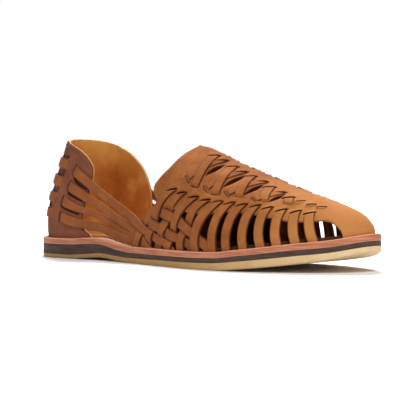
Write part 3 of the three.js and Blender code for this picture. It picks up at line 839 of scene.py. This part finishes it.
class Finish:
    """A procedural material: short helpers round one Principled shader.

    Its colour is laid on in coats: a ramp or a plain shade first, then paint over it.
    """

    def __init__(self, name, **sockets):
        self.material = bpy.data.materials.new(name)
        self.material.use_nodes = True
        self.tree = self.material.node_tree
        self.shader = self.tree.nodes["Principled BSDF"]
        for socket, value in sockets.items():
            self.shader.inputs[socket.replace("_", " ")].default_value = value
        self.places = self.node("ShaderNodeTexCoord").outputs["Object"]

    def node(self, kind, settings=(), inputs=()):
        made = self.tree.nodes.new(kind)
        for name, value in dict(settings).items():
            setattr(made, name, value)
        for socket, value in dict(inputs).items():
            self.feed(made.inputs[socket], value)
        return made

    def feed(self, socket, value):
        if isinstance(value, bpy.types.NodeSocket):
            self.tree.links.new(value, socket)
        else:
            socket.default_value = value

    def noise(self, size_mm, detail=3.0, roughness=0.55, stretch=None):
        """Cloudy noise, about 0 to 1, with features of that size."""
        places = self.places
        if stretch:
            scaled = self.node("ShaderNodeMapping", inputs={"Vector": places, "Scale": stretch})
            places = scaled.outputs["Vector"]
        inputs = {"Vector": places, "Scale": 1 / (size_mm * MM)}
        inputs.update({"Detail": detail, "Roughness": roughness})
        return self.node("ShaderNodeTexNoise", inputs=inputs).outputs["Fac"]

    def cells(self, per_metre):
        inputs = {"Vector": self.places, "Scale": per_metre}
        return self.node("ShaderNodeTexVoronoi", inputs=inputs).outputs["Distance"]

    def number(self, value, low, high, new_low, new_high):
        inputs = {"Value": value, "From Min": low, "From Max": high}
        inputs.update({"To Min": new_low, "To Max": new_high})
        return self.node("ShaderNodeMapRange", inputs=inputs).outputs["Result"]

    def ramp(self, value, stops, shades):
        """The first coat: colours that follow a value."""
        made = self.node("ShaderNodeValToRGB", inputs={"Fac": value})
        elements = made.color_ramp.elements
        while len(elements) < len(stops):
            elements.new(0.5)
        for element, at, shade in zip(elements, stops, shades):
            element.position = at
            element.color = colour(*shade)
        self.shade = made.outputs["Color"]

    def paint(self, share, shade):
        """A coat laid over the last, by a share or by the mesh's attribute of that name."""
        if isinstance(share, str):
            share = self.node("ShaderNodeAttribute", {"attribute_name": share}).outputs["Fac"]
        # The sockets of a colour mix: factor 0, under 6, over 7 and result 2.
        inputs = {0: share, 6: self.shade, 7: colour(*shade)}
        self.shade = self.node("ShaderNodeMix", {"data_type": "RGBA"}, inputs).outputs[2]

    def along(self, start, end, low, high, axis="X"):
        """A number that changes along the shoe, or up it."""
        split = self.node("ShaderNodeSeparateXYZ", inputs={"Vector": self.places})
        return self.number(split.outputs[axis], start, end, low, high)

    def bump(self, height, depth_mm, strength, under=None):
        inputs = {"Height": height, "Distance": depth_mm * MM, "Strength": strength}
        if under:
            inputs["Normal"] = under
        return self.node("ShaderNodeBump", inputs=inputs).outputs["Normal"]

    def finish(self, normal, roughness=None):
        self.tree.links.new(self.shade, self.shader.inputs["Base Color"])
        self.tree.links.new(normal, self.shader.inputs["Normal"])
        if roughness:
            self.tree.links.new(roughness, self.shader.inputs["Roughness"])
        return self.material


def nubuck(name, deep, base, light, toe, cut, toned, back):
    """Brushed leather: clouded colour, a fine nap, a painted highlight at the toe, and cut walls
    and back dark, partly as painted shade.
    """
    made = Finish(name, Sheen_Weight=0.02, Sheen_Roughness=0.5, Specular_IOR_Level=0.06)
    cloud = made.noise(16, detail=5, roughness=0.62)
    speck = made.noise(1.6, detail=4)
    scuff = made.noise(5, detail=5, roughness=0.7)
    made.ramp(cloud, (0.22, 0.5, 0.8), (deep, base, light))
    made.paint("tone", toned)
    made.paint(made.number(speck, 0.35, 0.65, 0, 0.18), deep)
    made.paint(made.number(scuff, 0.58, 0.72, 0, 0.2), light)
    # Painted highlight: paler towards the toe, where the light falls more.
    made.paint(made.along(0.06, 0.135, 0, 0.75), toe)
    # Painted shade in part: cut walls, slit rims and strap sides darker than cut leather alone.
    made.paint("edge", cut)
    # Painted shade in part: the inner face, seen through gaps, painted dark.
    made.paint("back", back)
    nap = made.bump(made.noise(0.5, detail=4), 0.16, 0.5)
    normal = made.bump(made.noise(6, detail=4), 0.5, 0.25, nap)
    return made.finish(normal, made.number(cloud, 0.3, 0.7, 0.92, 0.74))


def smooth_leather(name, deep, base, light, edge, back, shine=0.4, painted_front_shade=0, painted_top_light=0):
    """Lining and insole leather: smooth, with pores and faint creases. The last two arguments are
    how much darker it is painted towards the toe, as shade, and paler up at the collar, as a
    highlight."""
    made = Finish(name, Specular_IOR_Level=shine)
    cloud = made.noise(22, detail=5)
    made.ramp(cloud, (0.3, 0.52, 0.75), (deep, base, light))
    # Painted highlight: paler up at the collar, where the light falls in.
    made.paint(made.along(0.062, 0.088, 0, painted_top_light, "Z"), light)
    made.paint("edge", edge)
    # The lining's dark back shows through the counter's windows as painted shade.
    made.paint("back", back)
    # Painted shade: darker towards the toe, in the back colour.
    made.paint(made.along(-0.03, 0.01, 0, painted_front_shade), back)
    pores = made.bump(made.cells(1300), 0.08, 0.25)
    normal = made.bump(made.noise(9, detail=4), 0.4, 0.2, pores)
    return made.finish(normal, made.number(cloud, 0.3, 0.7, 0.62, 0.48))


def layered_edge(name, deep, base, light, edge, streak_mm, grain_mm, roughness):
    """The face of a sole layer: streaks that run along it, over a fine grain."""
    made = Finish(name, Specular_IOR_Level=0.3)
    streak = made.noise(streak_mm, detail=4, stretch=(1, 1, 14))
    grain = made.noise(grain_mm, detail=3)
    made.ramp(streak, (0.32, 0.52, 0.74), (deep, base, light))
    # Painted highlight: the rounded edges lighter.
    made.paint("edge", edge)
    made.paint(made.number(grain, 0.35, 0.65, 0, 0.2), deep)
    rough = made.number(streak, 0.3, 0.7, roughness + 0.06, roughness - 0.06)
    return made.finish(made.bump(grain, 0.12, 0.4), rough)


def crepe_rubber(name, heel, middle, toe):
    """Outsole rubber, paler towards the toe, with a fine crepe grain."""
    made = Finish(name, Specular_IOR_Level=0.35)
    cloud = made.noise(8, detail=4)
    made.ramp(made.along(-0.15, 0.15, 0, 1), (0, 0.55, 0.97), (heel, middle, toe))
    made.paint(made.number(cloud, 0.35, 0.7, 0, 0.22), heel)
    normal = made.bump(made.cells(700), 0.2, 0.35)
    return made.finish(normal, made.number(cloud, 0.3, 0.7, 0.72, 0.6))


def thread(name, base):
    """Waxed thread with a fine, darker twist."""
    made = Finish(name, Roughness=0.7)
    twist = made.noise(0.6, detail=2)
    made.shade = colour(*base)
    made.paint(made.number(twist, 0.4, 0.6, 0, 0.4), (60, 35, 25))
    return made.finish(made.bump(twist, 0.1, 0.4))


# ---------------------------------------------------------------- sole

SOLE_STATIONS = 240
LAYER_GAP = 0.05


def sole_layer(rows):
    """rows go up the side: inset from the sole's outline, height over x, share of edge colour, a
    painted highlight on rounded edges.
    """

    def wall(turns, order):
        sides = []
        for inset, height, _ in order:
            flat = inset_outline(turns, inset)
            sides.append(np.concatenate([flat, height(flat[:, 0])[:, None]], 1))
        return sides

    along = np.linspace(0, 1, SOLE_STATIONS + 1)
    points = np.stack(wall(along, rows[::-1]) + wall(2 - along, rows), 1)
    edge = np.tile([row[2] for row in rows[::-1] + rows], len(along))
    parts = Parts(("edge", "back"))
    faces = ring_faces(len(along), points.shape[1], capped=False)
    parts.add(points.reshape(-1, 3), faces, edge=edge)
    return parts


def banded(low, high, gap, round_low, round_high, steps=4):
    """Rows of a layer between two heights, less a gap, with rounded lower and upper edges."""
    rows = []
    # Rows on the rounded edges take the edge colour, a painted highlight.
    for k in range(steps + 1):
        angle = math.pi / 2 * k / steps
        inset, up = round_low * (1 - math.sin(angle)), round_low * (1 - math.cos(angle))
        rows.append((inset, lambda x, up=up: low(x) + up, float(k < steps)))
    for k in range(steps + 1):
        angle = math.pi / 2 * k / steps
        inset, down = round_high * (1 - math.cos(angle)), round_high * (1 - math.sin(angle))
        rows.append((inset, lambda x, down=down: high(x) - gap - down, float(k > 0)))
    return rows


def make_sole():
    rubber = crepe_rubber("crepe_rubber", (140, 112, 72), (172, 130, 68), (212, 182, 138))
    # The fourth colour of the foam and of the welt is their rounded edges', a painted highlight.
    foam = layered_edge("dark_foam", (54, 38, 34), (70, 50, 44), (84, 64, 56), (76, 56, 50),
                        streak_mm=14, grain_mm=0.9, roughness=0.75)
    leather = layered_edge("welt_leather", (150, 86, 60), (174, 108, 78), (192, 126, 94),
                           (208, 150, 118), streak_mm=18, grain_mm=0.8, roughness=0.62)
    stack = (
        ("outsole_rubber", "outsole", rubber, (ground_z, outsole_top_z, LAYER_GAP, 1.4, 0.25)),
        ("midsole_foam", "midsole", foam, (outsole_top_z, midsole_top_z, LAYER_GAP, 0.2, 0.3)),
        ("welt_leather", "welt", leather, (midsole_top_z, welt_top_z, 0, 0.45, 0.7)),
    )
    for name, node, finish, band in stack:
        make_piece(name, sole_layer(banded(*band)), finish, [node], weld=SOLE_WELD)


# The insole's upper face: insets from its edge, and how far up or down it is there.
DISH = ((0, -0.25), (0.35, 0), (2, 0.1), (5, -0.2), (9, -0.6), (14, -0.85))


def make_insole(finish):
    def top(x):
        return welt_top_z(x) + JOINT_GAP + INSOLE_THICKNESS

    rows = [(INSOLE_INSET + 0.2, lambda x: welt_top_z(x) + JOINT_GAP, 1.0)]
    rows += [(INSOLE_INSET + inset, lambda x, up=up: top(x) + up, float(k < 2))
             for k, (inset, up) in enumerate(DISH)]
    make_piece("insole_lining", sole_layer(rows), finish, ["insole"],
               weld=SOLE_WELD)


# ---------------------------------------------------------------- vamp and its straps

# Lifts of a strap's top: over and under another in the weave, on the vamp, and inside it.
OVER, UNDER = 1.5, -0.9
ON_LEATHER = 1.75
HIDDEN = -2.4
STEEP_LIFT, SLANTING_LIFT, BRIDGE_LIFT = 1.15, 0.95, 0.4
STEEP_OVER = 0.75
SLANTING_UNDER = 0.6
FOOT_LIFT = 0.2
# How far in rise below its slit an upright settles, and its lift there.
SETTLED_BELOW, SETTLED_LIFT = 0.085, 1.3
# How far before and after a slit a strap has dived, and how far in rise it goes on hidden.
DIVE_BEFORE, DIVE_AFTER = 0.9, 2.3
HIDDEN_RISE, HIDDEN_INSTEP_RISE = 0.07, 0.05
# How far a strap's sections may slant to lie along a slit, and how soon that fades.
MOST_SLANT = 1.7
MOST_SIDE_SLANT = 1.4
MOST_BRIDGE_SLANT = 0.3
SLANT_FADE = 9.0
# The slits' half runs on the instep, in x and rise.
RIDGE_RUN = (2.9, 0.037)
TUCK_RUN = (4.4, 0.008)
SLANT_TUCK_RUN = (3.2, -0.024)
BRIDGE_RUN = (2.3, 0.03)
BRIDGE_SLIT_LIFT = 0.4
LEAF_WIDTH = 3.4


def vamp_slit(side, place, run, covered=1, narrow=False):
    """A slit at a place, run from its middle to its end, both in (x, rise). covered is the
    way in rise, up or down, that the strap is hidden."""
    x, rise = place
    middle = vamp_chart(x, rise, side)
    end = vamp_chart(x + run[0], rise + run[1], side)
    slit = Slit(middle, end, vamp_chart(x, rise + 0.05 * covered, side) - middle)
    if narrow:
        slit.width, slit.overrun = 0.4, 0.2
    return slit


def slit_run(place, run, side):
    """The slit's direction in space."""
    ends = [(place[0] + s * run[0], place[1] + s * run[1]) for s in (-1, 1)]
    turns = [LAST.turn_at(x, rise, side) for x, rise in ends]
    points = LAST.place(turns, [rise for _, rise in ends], 0)
    return unit(points[1] - points[0])


def vamp_slits(side):
    slits = [vamp_slit(side, (x, rise), (dx, dr)) for x, rise, dx, dr, *_ in SIDE_STRAPS]
    slits += [vamp_slit(side, route[0], run) for run, route in UPRIGHTS]
    for straps, tuck_run in ((STEEP_STRAPS, TUCK_RUN), (SLANTING_STRAPS, SLANT_TUCK_RUN)):
        for start, end in straps:
            slits.append(vamp_slit(side, start, RIDGE_RUN))
            slits.append(vamp_slit(side, end, tuck_run, -1, narrow=True))
    for start, end in BRIDGE_STRAPS:
        for place, covered in ((start, 1), (end, -1)):
            slits.append(vamp_slit(side, place, BRIDGE_RUN, covered, narrow=True))
            slits[-1].lift = BRIDGE_SLIT_LIFT
    return slits


def leaf_loop(side, front, rear):
    """A pointed opening between two straps."""
    ends = np.array(charted(vamp_chart, (rear, front), side))
    across = left_of(unit(ends[1] - ends[0]))
    share = np.linspace(0, 1, 14)[:, None]
    bulge = LEAF_WIDTH / 2 * np.sin(math.pi * share) ** 0.8 * across
    middle = ends[0] + (ends[1] - ends[0]) * share
    return np.concatenate([(middle + bulge)[:-1], (middle - bulge)[:0:-1]])


def vamp_border():
    """Round the vamp's chart: both sides' edges, joined by a seam at the toe."""
    sides = {}
    for side in SIDES:
        rear = smooth_path(charted(vamp_chart, VAMP_REAR, side), Sheet.edge_step)
        lower = smooth_path(charted(vamp_chart, VAMP_LOWER, side), Sheet.edge_step)
        foot_v = side * (1 - VAMP_LOWER[-1][1]) * RISE_MM
        foot = straight_path([lower[-1], (TURN_MM, foot_v)], Sheet.edge_step)
        sides[side] = (rear, lower, foot)
    (rear_l, lower_l, foot_l), (rear_m, lower_m, foot_m) = sides[LATERAL], sides[MEDIAL]
    rear_l[-1] = rear_m[-1] = (rear_l[-1] + rear_m[-1]) / 2
    seam = straight_path([foot_l[-1], foot_m[-1]], Sheet.edge_step)
    runs = (lower_l, foot_l, seam, foot_m[::-1], lower_m[::-1], rear_m, rear_l[::-1])
    return np.concatenate([run[:-1] for run in runs])


def make_vamp(leather):
    slits = [slit for side in SIDES for slit in vamp_slits(side)]
    holes = [slit.loop() for slit in slits]
    holes += [leaf_loop(side, *leaf) for side in SIDES for leaf in LEAF_OPENINGS]
    sheet = Sheet(vamp_unchart, vamp_border(), holes, slits, seam_u=TURN_MM, seed=3)
    skin = Parts()
    sheet.layer(skin, 0, -VAMP_SKIN)
    make_piece("vamp", skin, leather, ["upper"], weld=VAMP_WELD)
    backing = Parts()
    # All in the dark back colour: the inner face, and painted shade seen through the slits and
    # openings.
    sheet.layer(backing, -VAMP_SKIN - SKIN_GAP, -VAMP_WALL, edge_drop=0, back=(1, 1))
    make_piece("vamp_backing", backing, leather, weld=VAMP_WELD)


def make_weave_lining(leather):
    """A thin lining inside the woven side, well clear of the straps that pass under."""
    parts = Parts()
    for side in SIDES:
        border = charted(vamp_chart, [*WEAVE_LINING, WEAVE_LINING[0]], side)
        sheet = Sheet(vamp_unchart, straight_path(border, Sheet.edge_step)[:-1], [], uneven=0)
        # All in the dark back colour, partly painted shade seen through the weave's gaps.
        sheet.layer(parts, *WEAVE_LINING_LIFTS, back=(1, 1))
    make_piece("weave_lining", parts, leather)


def routed(side, places):
    return [(LAST.turn_at(x, rise, side), rise) for x, rise in places]


def side_strap(side, top, run, below, tone, width=STRAP_WIDTH):
    """A strap that comes out of the vamp's slit at top and goes on down through below."""
    (x, rise), (next_x, next_rise) = top, below[0]
    share = HIDDEN_RISE / (rise - next_rise)
    hidden = (x + (x - next_x) * share, rise + HIDDEN_RISE)
    strap = Strap(routed(side, [hidden, top, *below]), width, tone=tone)
    at_slit = strap.reach_at_rise(rise)
    strap.slant(at_slit, slit_run(top, run, side), MOST_SIDE_SLANT)
    strap.knots += [(at_slit - DIVE_BEFORE, HIDDEN), (at_slit + DIVE_AFTER, ON_LEATHER)]
    return strap


# A side strap's lifts on its way down, by rise, and how much the straps' tones differ.
SIDE_LIFTS = ((0.365, ON_LEATHER - 0.15), (0.2, 0.7), (0, 0.35))
TONE_SPREAD = 0.2


def make_side_straps(leather):
    parts = Parts()
    for side in SIDES:
        bend = 1 if side == LATERAL else MEDIAL_BEND
        for x, rise, dx, dr, *feet in SIDE_STRAPS:
            foot_x = feet[SIDES.index(side)]
            bow = SIDE_BOW * max(0, 1 - (x - SIDE_STRAPS[0][0]) / BOW_FADES_OVER)
            below = [(foot_x + (x - foot_x) * share**bend - bow * math.sin(math.pi * share),
                      rise * share) for share in (0.8, 0.6, 0.4, 0.2, 0)]
            below.append((foot_x, -0.05))
            strap = side_strap(side, (x, rise), (dx, dr), below, RANDOM.uniform(0, TONE_SPREAD))
            if side == MEDIAL:
                strap.width += MEDIAL_FOOT_EXTRA * np.clip(1 - strap.rises / rise, 0, 1)
            strap.knots += [(strap.reach_at_rise(at), lift) for at, lift in SIDE_LIFTS]
            strap.build(parts)
    make_piece("side_straps", parts, leather)


def tie(upright, runner, runner_over):
    """One crossing of the weave."""
    met = upright.meet(runner)
    if met is None:
        return
    upright.knots.append((met[0], UNDER if runner_over else OVER))
    runner.knots.append((met[1], OVER if runner_over else UNDER))


HEEL_LIFT = 0.85
UNDER_STRIP = -0.45


def make_heel_strap(row):
    """A strap right round the heel, from one side's weave to the other's."""
    places, (rear, front), (narrow_x, narrow_width) = row["route"], row["under"], row["narrow"]
    lateral = routed(LATERAL, places)[::-1]
    medial = routed(MEDIAL, places)[1:]
    strap = Strap(lateral[:-1] + [(0.0, places[0][1])] + medial, tone=0.5)
    forward = ease((strap.points[:, 0] - front) / (narrow_x - front))
    strap.width = STRAP_WIDTH + (narrow_width - STRAP_WIDTH) * forward
    strap.knots.append((strap.reach_at_x(0), HEEL_LIFT))
    # Lifts by x: on the counter, down and under its strip, and up over its front edge.
    lifts = [(10, 0.9), (rear - 4, 1.1), (rear + 1, UNDER_STRIP), (front - 1, UNDER_STRIP)]
    lifts += [(front + 4.5, 1.9), *zip(STACK_XS, row["stack"])]
    for side in SIDES:
        strap.knots += [(strap.reach_at_x(x, side), lift) for x, lift in lifts]
    return strap


def make_weave(leather):
    """The woven side, with the heel straps that run on into it."""
    heel_straps = [make_heel_strap(row) for row in HEEL_STRAPS]
    weave = Parts()
    for side in SIDES:
        arch = Strap(routed(side, ARCH_ROUTE), ARCH_WIDTH, tone=0.3)
        runner = Strap(routed(side, RUNNER_ROUTE), tone=0.6)
        uprights = [arch]
        for run, (top, *below) in UPRIGHTS:
            if side == MEDIAL and run is UPRIGHTS[-1][0]:
                below = [(x - MEDIAL_SHIFT * (1 - rise / top[1]), rise) for x, rise in below]
            tone = RANDOM.uniform(0, TONE_SPREAD)
            upright = side_strap(side, top, run, below, tone, UPRIGHT_WIDTH)
            settled = upright.reach_at_rise(top[1] - SETTLED_BELOW)
            upright.knots.append((settled, SETTLED_LIFT))
            uprights.append(upright)
        for i, upright in enumerate(uprights):
            if upright is not arch:
                tie(upright, arch, i % 2 == 0)
            for j, other in enumerate([runner, *heel_straps], start=1):
                tie(upright, other, (i + j) % 2 == 0 and not (upright is arch and j > 3))
            upright.knots.append((upright.reach_at_rise(-0.02), FOOT_LIFT))
        arch.knots.append((0, FOOT_LIFT))
        runner.knots += [(0, UNDER), (runner.reach[-1], 0.1)]
        for strap in [*uprights, runner]:
            strap.build(weave)
    make_piece("side_weave", weave, leather)
    around = Parts()
    for strap in heel_straps:
        strap.knots += [(0, 0.0), (strap.reach[-1], 0.0)]
        strap.build(around, dark_edge=0)
    make_piece("heel_straps", around, leather)
    return heel_straps


def instep_strap(side, start, end, runs, over, width, tone):
    """A strap over the vamp from the slit at start, by the ridge, to the slit at end."""
    (x0, r0), (x1, r1) = start, end
    share = HIDDEN_INSTEP_RISE / (r0 - r1)
    before = (x0 - (x1 - x0) * share, r0 + HIDDEN_INSTEP_RISE)
    after = (x1 + (x1 - x0) * share, r1 - HIDDEN_INSTEP_RISE)
    middle = [(x0 + (x1 - x0) * s, r0 + (r1 - r0) * s) for s in (0.33, 0.67)]
    places = routed(side, [before, start, *middle, end, after])
    strap = Strap(places, width, TOP_STRAP_THICKNESS, tone)
    leave, enter = strap.reach_at_rise(r0), strap.reach_at_rise(r1)
    most = MOST_BRIDGE_SLANT if runs[0] is BRIDGE_RUN else MOST_SLANT
    strap.slant(leave, slit_run(start, runs[0], side), most)
    strap.slant(enter, slit_run(end, runs[1], side), most)
    strap.knots += [(leave - DIVE_BEFORE, HIDDEN), (enter + DIVE_BEFORE, HIDDEN)]
    settle = min(DIVE_AFTER, 0.45 * (enter - leave))
    strap.knots += [(leave + settle, over), (enter - settle, over)]
    return strap


# The kinds of instep strap: rows, the runs of the slits at both ends, lift, width and tone.
INSTEP_KINDS = (
    (STEEP_STRAPS, (RIDGE_RUN, TUCK_RUN), STEEP_LIFT, STRAP_WIDTH, 0.05),
    (SLANTING_STRAPS, (RIDGE_RUN, SLANT_TUCK_RUN), SLANTING_LIFT, SLANTING_WIDTH, 0.25),
    (BRIDGE_STRAPS, (BRIDGE_RUN, BRIDGE_RUN), BRIDGE_LIFT, BRIDGE_WIDTH, 0.0),
)


def make_instep(leather):
    parts = Parts()
    for side in SIDES:
        steep, slanting, bridges = ([instep_strap(side, *ends, *kind) for ends in rows]
                                    for rows, *kind in INSTEP_KINDS)
        for over in steep:
            for under in slanting:
                met = over.meet(under)
                if met is not None:
                    over.knots.append((met[0], STEEP_LIFT + STEEP_OVER))
                    under.knots.append((met[1], SLANTING_UNDER))
        for strap in steep + slanting + bridges:
            strap.build(parts)
    make_piece("instep_straps", parts, leather)


# ---------------------------------------------------------------- heel counter

def counter_spot(forward, part):
    """A place on the counter: forward from -1, the medial front edge, to 1, the lateral one."""
    side = LATERAL if forward >= 0 else MEDIAL
    rise = part * float(counter_top["rise"](abs(forward)))
    front_x = float(counter_front["lateral" if side == LATERAL else "medial"](max(part, 0)))
    back_x = LAST.look_up(0.0, rise)[0][0]
    x = back_x + (front_x - back_x) * (1 - math.cos(math.pi / 2 * abs(forward)))
    return heel_chart(x, rise, side)


COLLAR_SMOOTHING = 60
LINING_LIP = 0.6


def counter_border():
    """Round the counter's chart; the smoothing rounds its upper corners."""
    up = np.linspace(-0.05, 1, 24)
    round_heel = np.linspace(-1, 1, 61)
    bottom = [counter_spot(f, up[0]) for f in round_heel]
    lateral = [counter_spot(1, part) for part in up]
    top = [counter_spot(f, 1) for f in round_heel[::-1]]
    medial = [counter_spot(-1, part) for part in up[::-1]]
    runs = (straight_path(run, Sheet.edge_step) for run in (bottom, lateral, top, medial))
    border = np.concatenate([run[:-1] for run in runs])
    high = ease((border[:, 1] / RISE_MM - 0.4) / 0.1)[:, None]
    for _ in range(COLLAR_SMOOTHING):
        border += 0.5 * high * ((np.roll(border, 1, 0) + np.roll(border, -1, 0)) / 2 - border)
    return border


def strap_slits(strap, under):
    """The four slits in the counter's skin that a heel strap goes through."""
    slits = []
    flat = np.stack([strap.turns * TURN_MM, strap.rises * RISE_MM], 1)
    for side in SIDES:
        spots = [int(np.abs(strap.reach - strap.reach_at_x(x, side)).argmin()) for x in under]
        for k, other in (spots, spots[::-1]):
            across = left_of(unit(flat[k + 1] - flat[k - 1])) * (STRAP_WIDTH / 2 - 0.2)
            slits.append(Slit(flat[k], flat[k] + across, flat[other] - flat[k]))
    return slits


def make_counter(leather, lining, heel_straps, seam_thread):
    border = counter_border()
    slits = []
    for strap, row in zip(heel_straps, HEEL_STRAPS):
        slits += strap_slits(strap, row["under"])
    holes = [slit.loop() for slit in slits]
    for side in SIDES:
        for window in COUNTER_WINDOWS:
            corners = charted(heel_chart, window, side)
            holes.append(straight_path([*corners, corners[0]], Sheet.edge_step)[:-1])
    skin = Sheet(heel_unchart, border, holes, slits, seed=11)
    outside = Parts()
    skin.layer(outside, 0, -COUNTER_SKIN)
    make_piece("counter_skin", outside, leather, ["heel_counter"])
    inner = Sheet(heel_unchart, inset_loop(border, -LINING_LIP), [], seed=11)
    inside = Parts(("edge", "back"))
    # Its outer face takes the dark back colour, painted shade where the skin's windows show it.
    inner.layer(inside, -COUNTER_SKIN - SKIN_GAP, -COUNTER_WALL, -0.3, (1, 0), border_cut=1)
    make_piece("counter_lining", inside, lining)
    make_stitches(border, seam_thread)


STITCH_PITCH = 2.6
STITCH_LENGTH = 1.9
STITCH_RADIUS = 0.3
STITCH_INSET = 2.3
STITCH_SIDES = 6
STITCH_LIFT = 0.12
STITCHED_FROM = 0.18
# A stitch along its length: share of the length, share of the radius.
STITCH_RINGS = ((-0.5, 0.35), (-0.38, 0.9), (0, 1), (0.38, 0.9), (0.5, 0.35))


def make_stitches(border, finish):
    """A row of stitches inside the counter's collar and front edges."""
    line = inset_loop(border, STITCH_INSET)
    line = straight_path(np.concatenate([line, line[:1]]), STITCH_PITCH)
    parts = Parts(())
    angles = np.arange(STITCH_SIDES) * math.tau / STITCH_SIDES
    for start, end in zip(line[:-1], line[1:]):
        if start[1] < STITCHED_FROM * RISE_MM:
            continue
        ends = LAST.place(*heel_unchart(np.array([start, end])), STITCH_LIFT)
        normal = LAST.look_up(*heel_unchart(np.array([start])))[1][0]
        along = unit(ends[1] - ends[0])
        across = unit(np.cross(along, normal))
        middle = ends.mean(0)
        circle = np.cos(angles)[:, None] * across
        circle = circle + np.sin(angles)[:, None] * np.cross(across, along)
        rings = []
        for share, size in STITCH_RINGS:
            drop = 0.5 * STITCH_RADIUS * (1 - size)
            centre = middle + along * share * STITCH_LENGTH - normal * drop
            rings.append(centre + circle * STITCH_RADIUS * size)
        parts.add(np.concatenate(rings), ring_faces(len(rings), STITCH_SIDES))
    make_piece("counter_stitches", parts, finish)


# ---------------------------------------------------------------- room

FLOOR_HALF = 0.9


def make_floor():
    made = Finish("pale_floor", Roughness=0.9, Specular_IOR_Level=0.1)
    made.shade = colour(232, 232, 232)
    made.paint(made.number(made.noise(400), 0.4, 0.6, 0, 1), (238, 238, 238))
    made.finish(made.bump(made.noise(3), 0.05, 0.1))
    mesh = bpy.data.meshes.new("floor")
    corners = [(x * FLOOR_HALF, y * FLOOR_HALF, 0) for x, y in ((-1, -1), (1, -1), (1, 1), (-1, 1))]
    mesh.from_pydata(corners, [], [(0, 1, 2, 3)])
    mesh.materials.append(made.material)
    floor = bpy.data.objects.new("floor", mesh)
    bpy.context.scene.collection.objects.link(floor)


def stand(made, place, aim):
    """Stands a light or the camera at a place, looking at another."""
    made.location = place
    gaze = Vector(aim) - Vector(place)
    made.rotation_euler = gaze.to_track_quat("-Z", "Y").to_euler()
    bpy.context.scene.collection.objects.link(made)


def make_light(name, place, size, power, aim=(0, 0, 0.04)):
    data = bpy.data.lights.new(name, "AREA")
    data.shape = "DISK"
    data.size = size
    data.energy = power
    stand(bpy.data.objects.new(name, data), place, aim)


# The sky's strength: bright at the horizon, dimmer overhead.
DOME = {"From Min": 0.075, "From Max": 0.2, "To Min": 1.0, "To Max": 0.32}


def make_room():
    make_floor()
    world = bpy.data.worlds.new("studio")
    world.use_nodes = True
    tree = world.node_tree
    places = tree.nodes.new("ShaderNodeTexCoord")
    split = tree.nodes.new("ShaderNodeSeparateXYZ")
    dome = tree.nodes.new("ShaderNodeMapRange")
    for socket, value in DOME.items():
        dome.inputs[socket].default_value = value
    tree.links.new(places.outputs["Generated"], split.inputs["Vector"])
    tree.links.new(split.outputs["Z"], dome.inputs["Value"])
    tree.links.new(dome.outputs["Result"], tree.nodes["Background"].inputs["Strength"])
    tree.nodes["Background"].inputs["Color"].default_value = (1, 1, 1, 1)
    bpy.context.scene.world = world
    make_light("key", (1.0, -0.8, 1.35), 0.5, 22)
    make_light("top", (-0.5, 0.7, 1.5), 0.6, 36)
    make_light("backdrop", (-0.7, 0.8, 0.9), 0.8, 9, aim=(-0.75, 0.85, 0))
    bpy.context.scene.view_settings.view_transform = "Standard"


CAMERA_PLACE = (0.9448, -1.1056, 0.1074)
CAMERA_AIM = (0.0, 0.0, 0.046)
CAMERA_LENS = 180.0
CAMERA_SENSOR = 36.0


def make_camera():
    data = bpy.data.cameras.new("camera")
    data.lens = CAMERA_LENS
    data.sensor_width = CAMERA_SENSOR
    camera = bpy.data.objects.new("camera", data)
    stand(camera, CAMERA_PLACE, CAMERA_AIM)
    bpy.context.scene.camera = camera


def main():
    # The nubucks' toe colour is a painted highlight; their cut and back colours are dark partly as
    # painted shade.
    leather = nubuck("tan_nubuck", (116, 66, 32), (143, 84, 41), (168, 104, 52), (186, 126, 70),
                     (84, 42, 20), (118, 66, 44), (62, 30, 14))
    heel_leather = nubuck("brown_nubuck", (90, 50, 36), (116, 68, 48), (134, 82, 58), (134, 82, 58),
                          (84, 46, 32), (110, 64, 50), (56, 30, 20))
    # The lining: its pale top is a painted highlight, and its dark back is painted shade behind the
    # counter's windows.
    lining = smooth_leather("tan_lining", (164, 92, 38), (186, 112, 48), (214, 156, 80),
                            (186, 132, 76), (84, 44, 26), shine=0.12, painted_top_light=0.85)
    # The insole's back colour, laid on towards the toe, is painted shade.
    insole = smooth_leather("insole_leather", (176, 116, 64), (196, 136, 80), (210, 156, 96),
                            (206, 148, 96), (62, 32, 16), shine=0.05, painted_front_shade=0.95)
    seam_thread = thread("brown_thread", (104, 66, 50))
    make_sole()
    make_insole(insole)
    make_vamp(leather)
    make_weave_lining(leather)
    make_side_straps(leather)
    heel_straps = make_weave(leather)
    make_instep(leather)
    make_counter(heel_leather, lining, heel_straps, seam_thread)
    make_room()
    make_camera()


main()
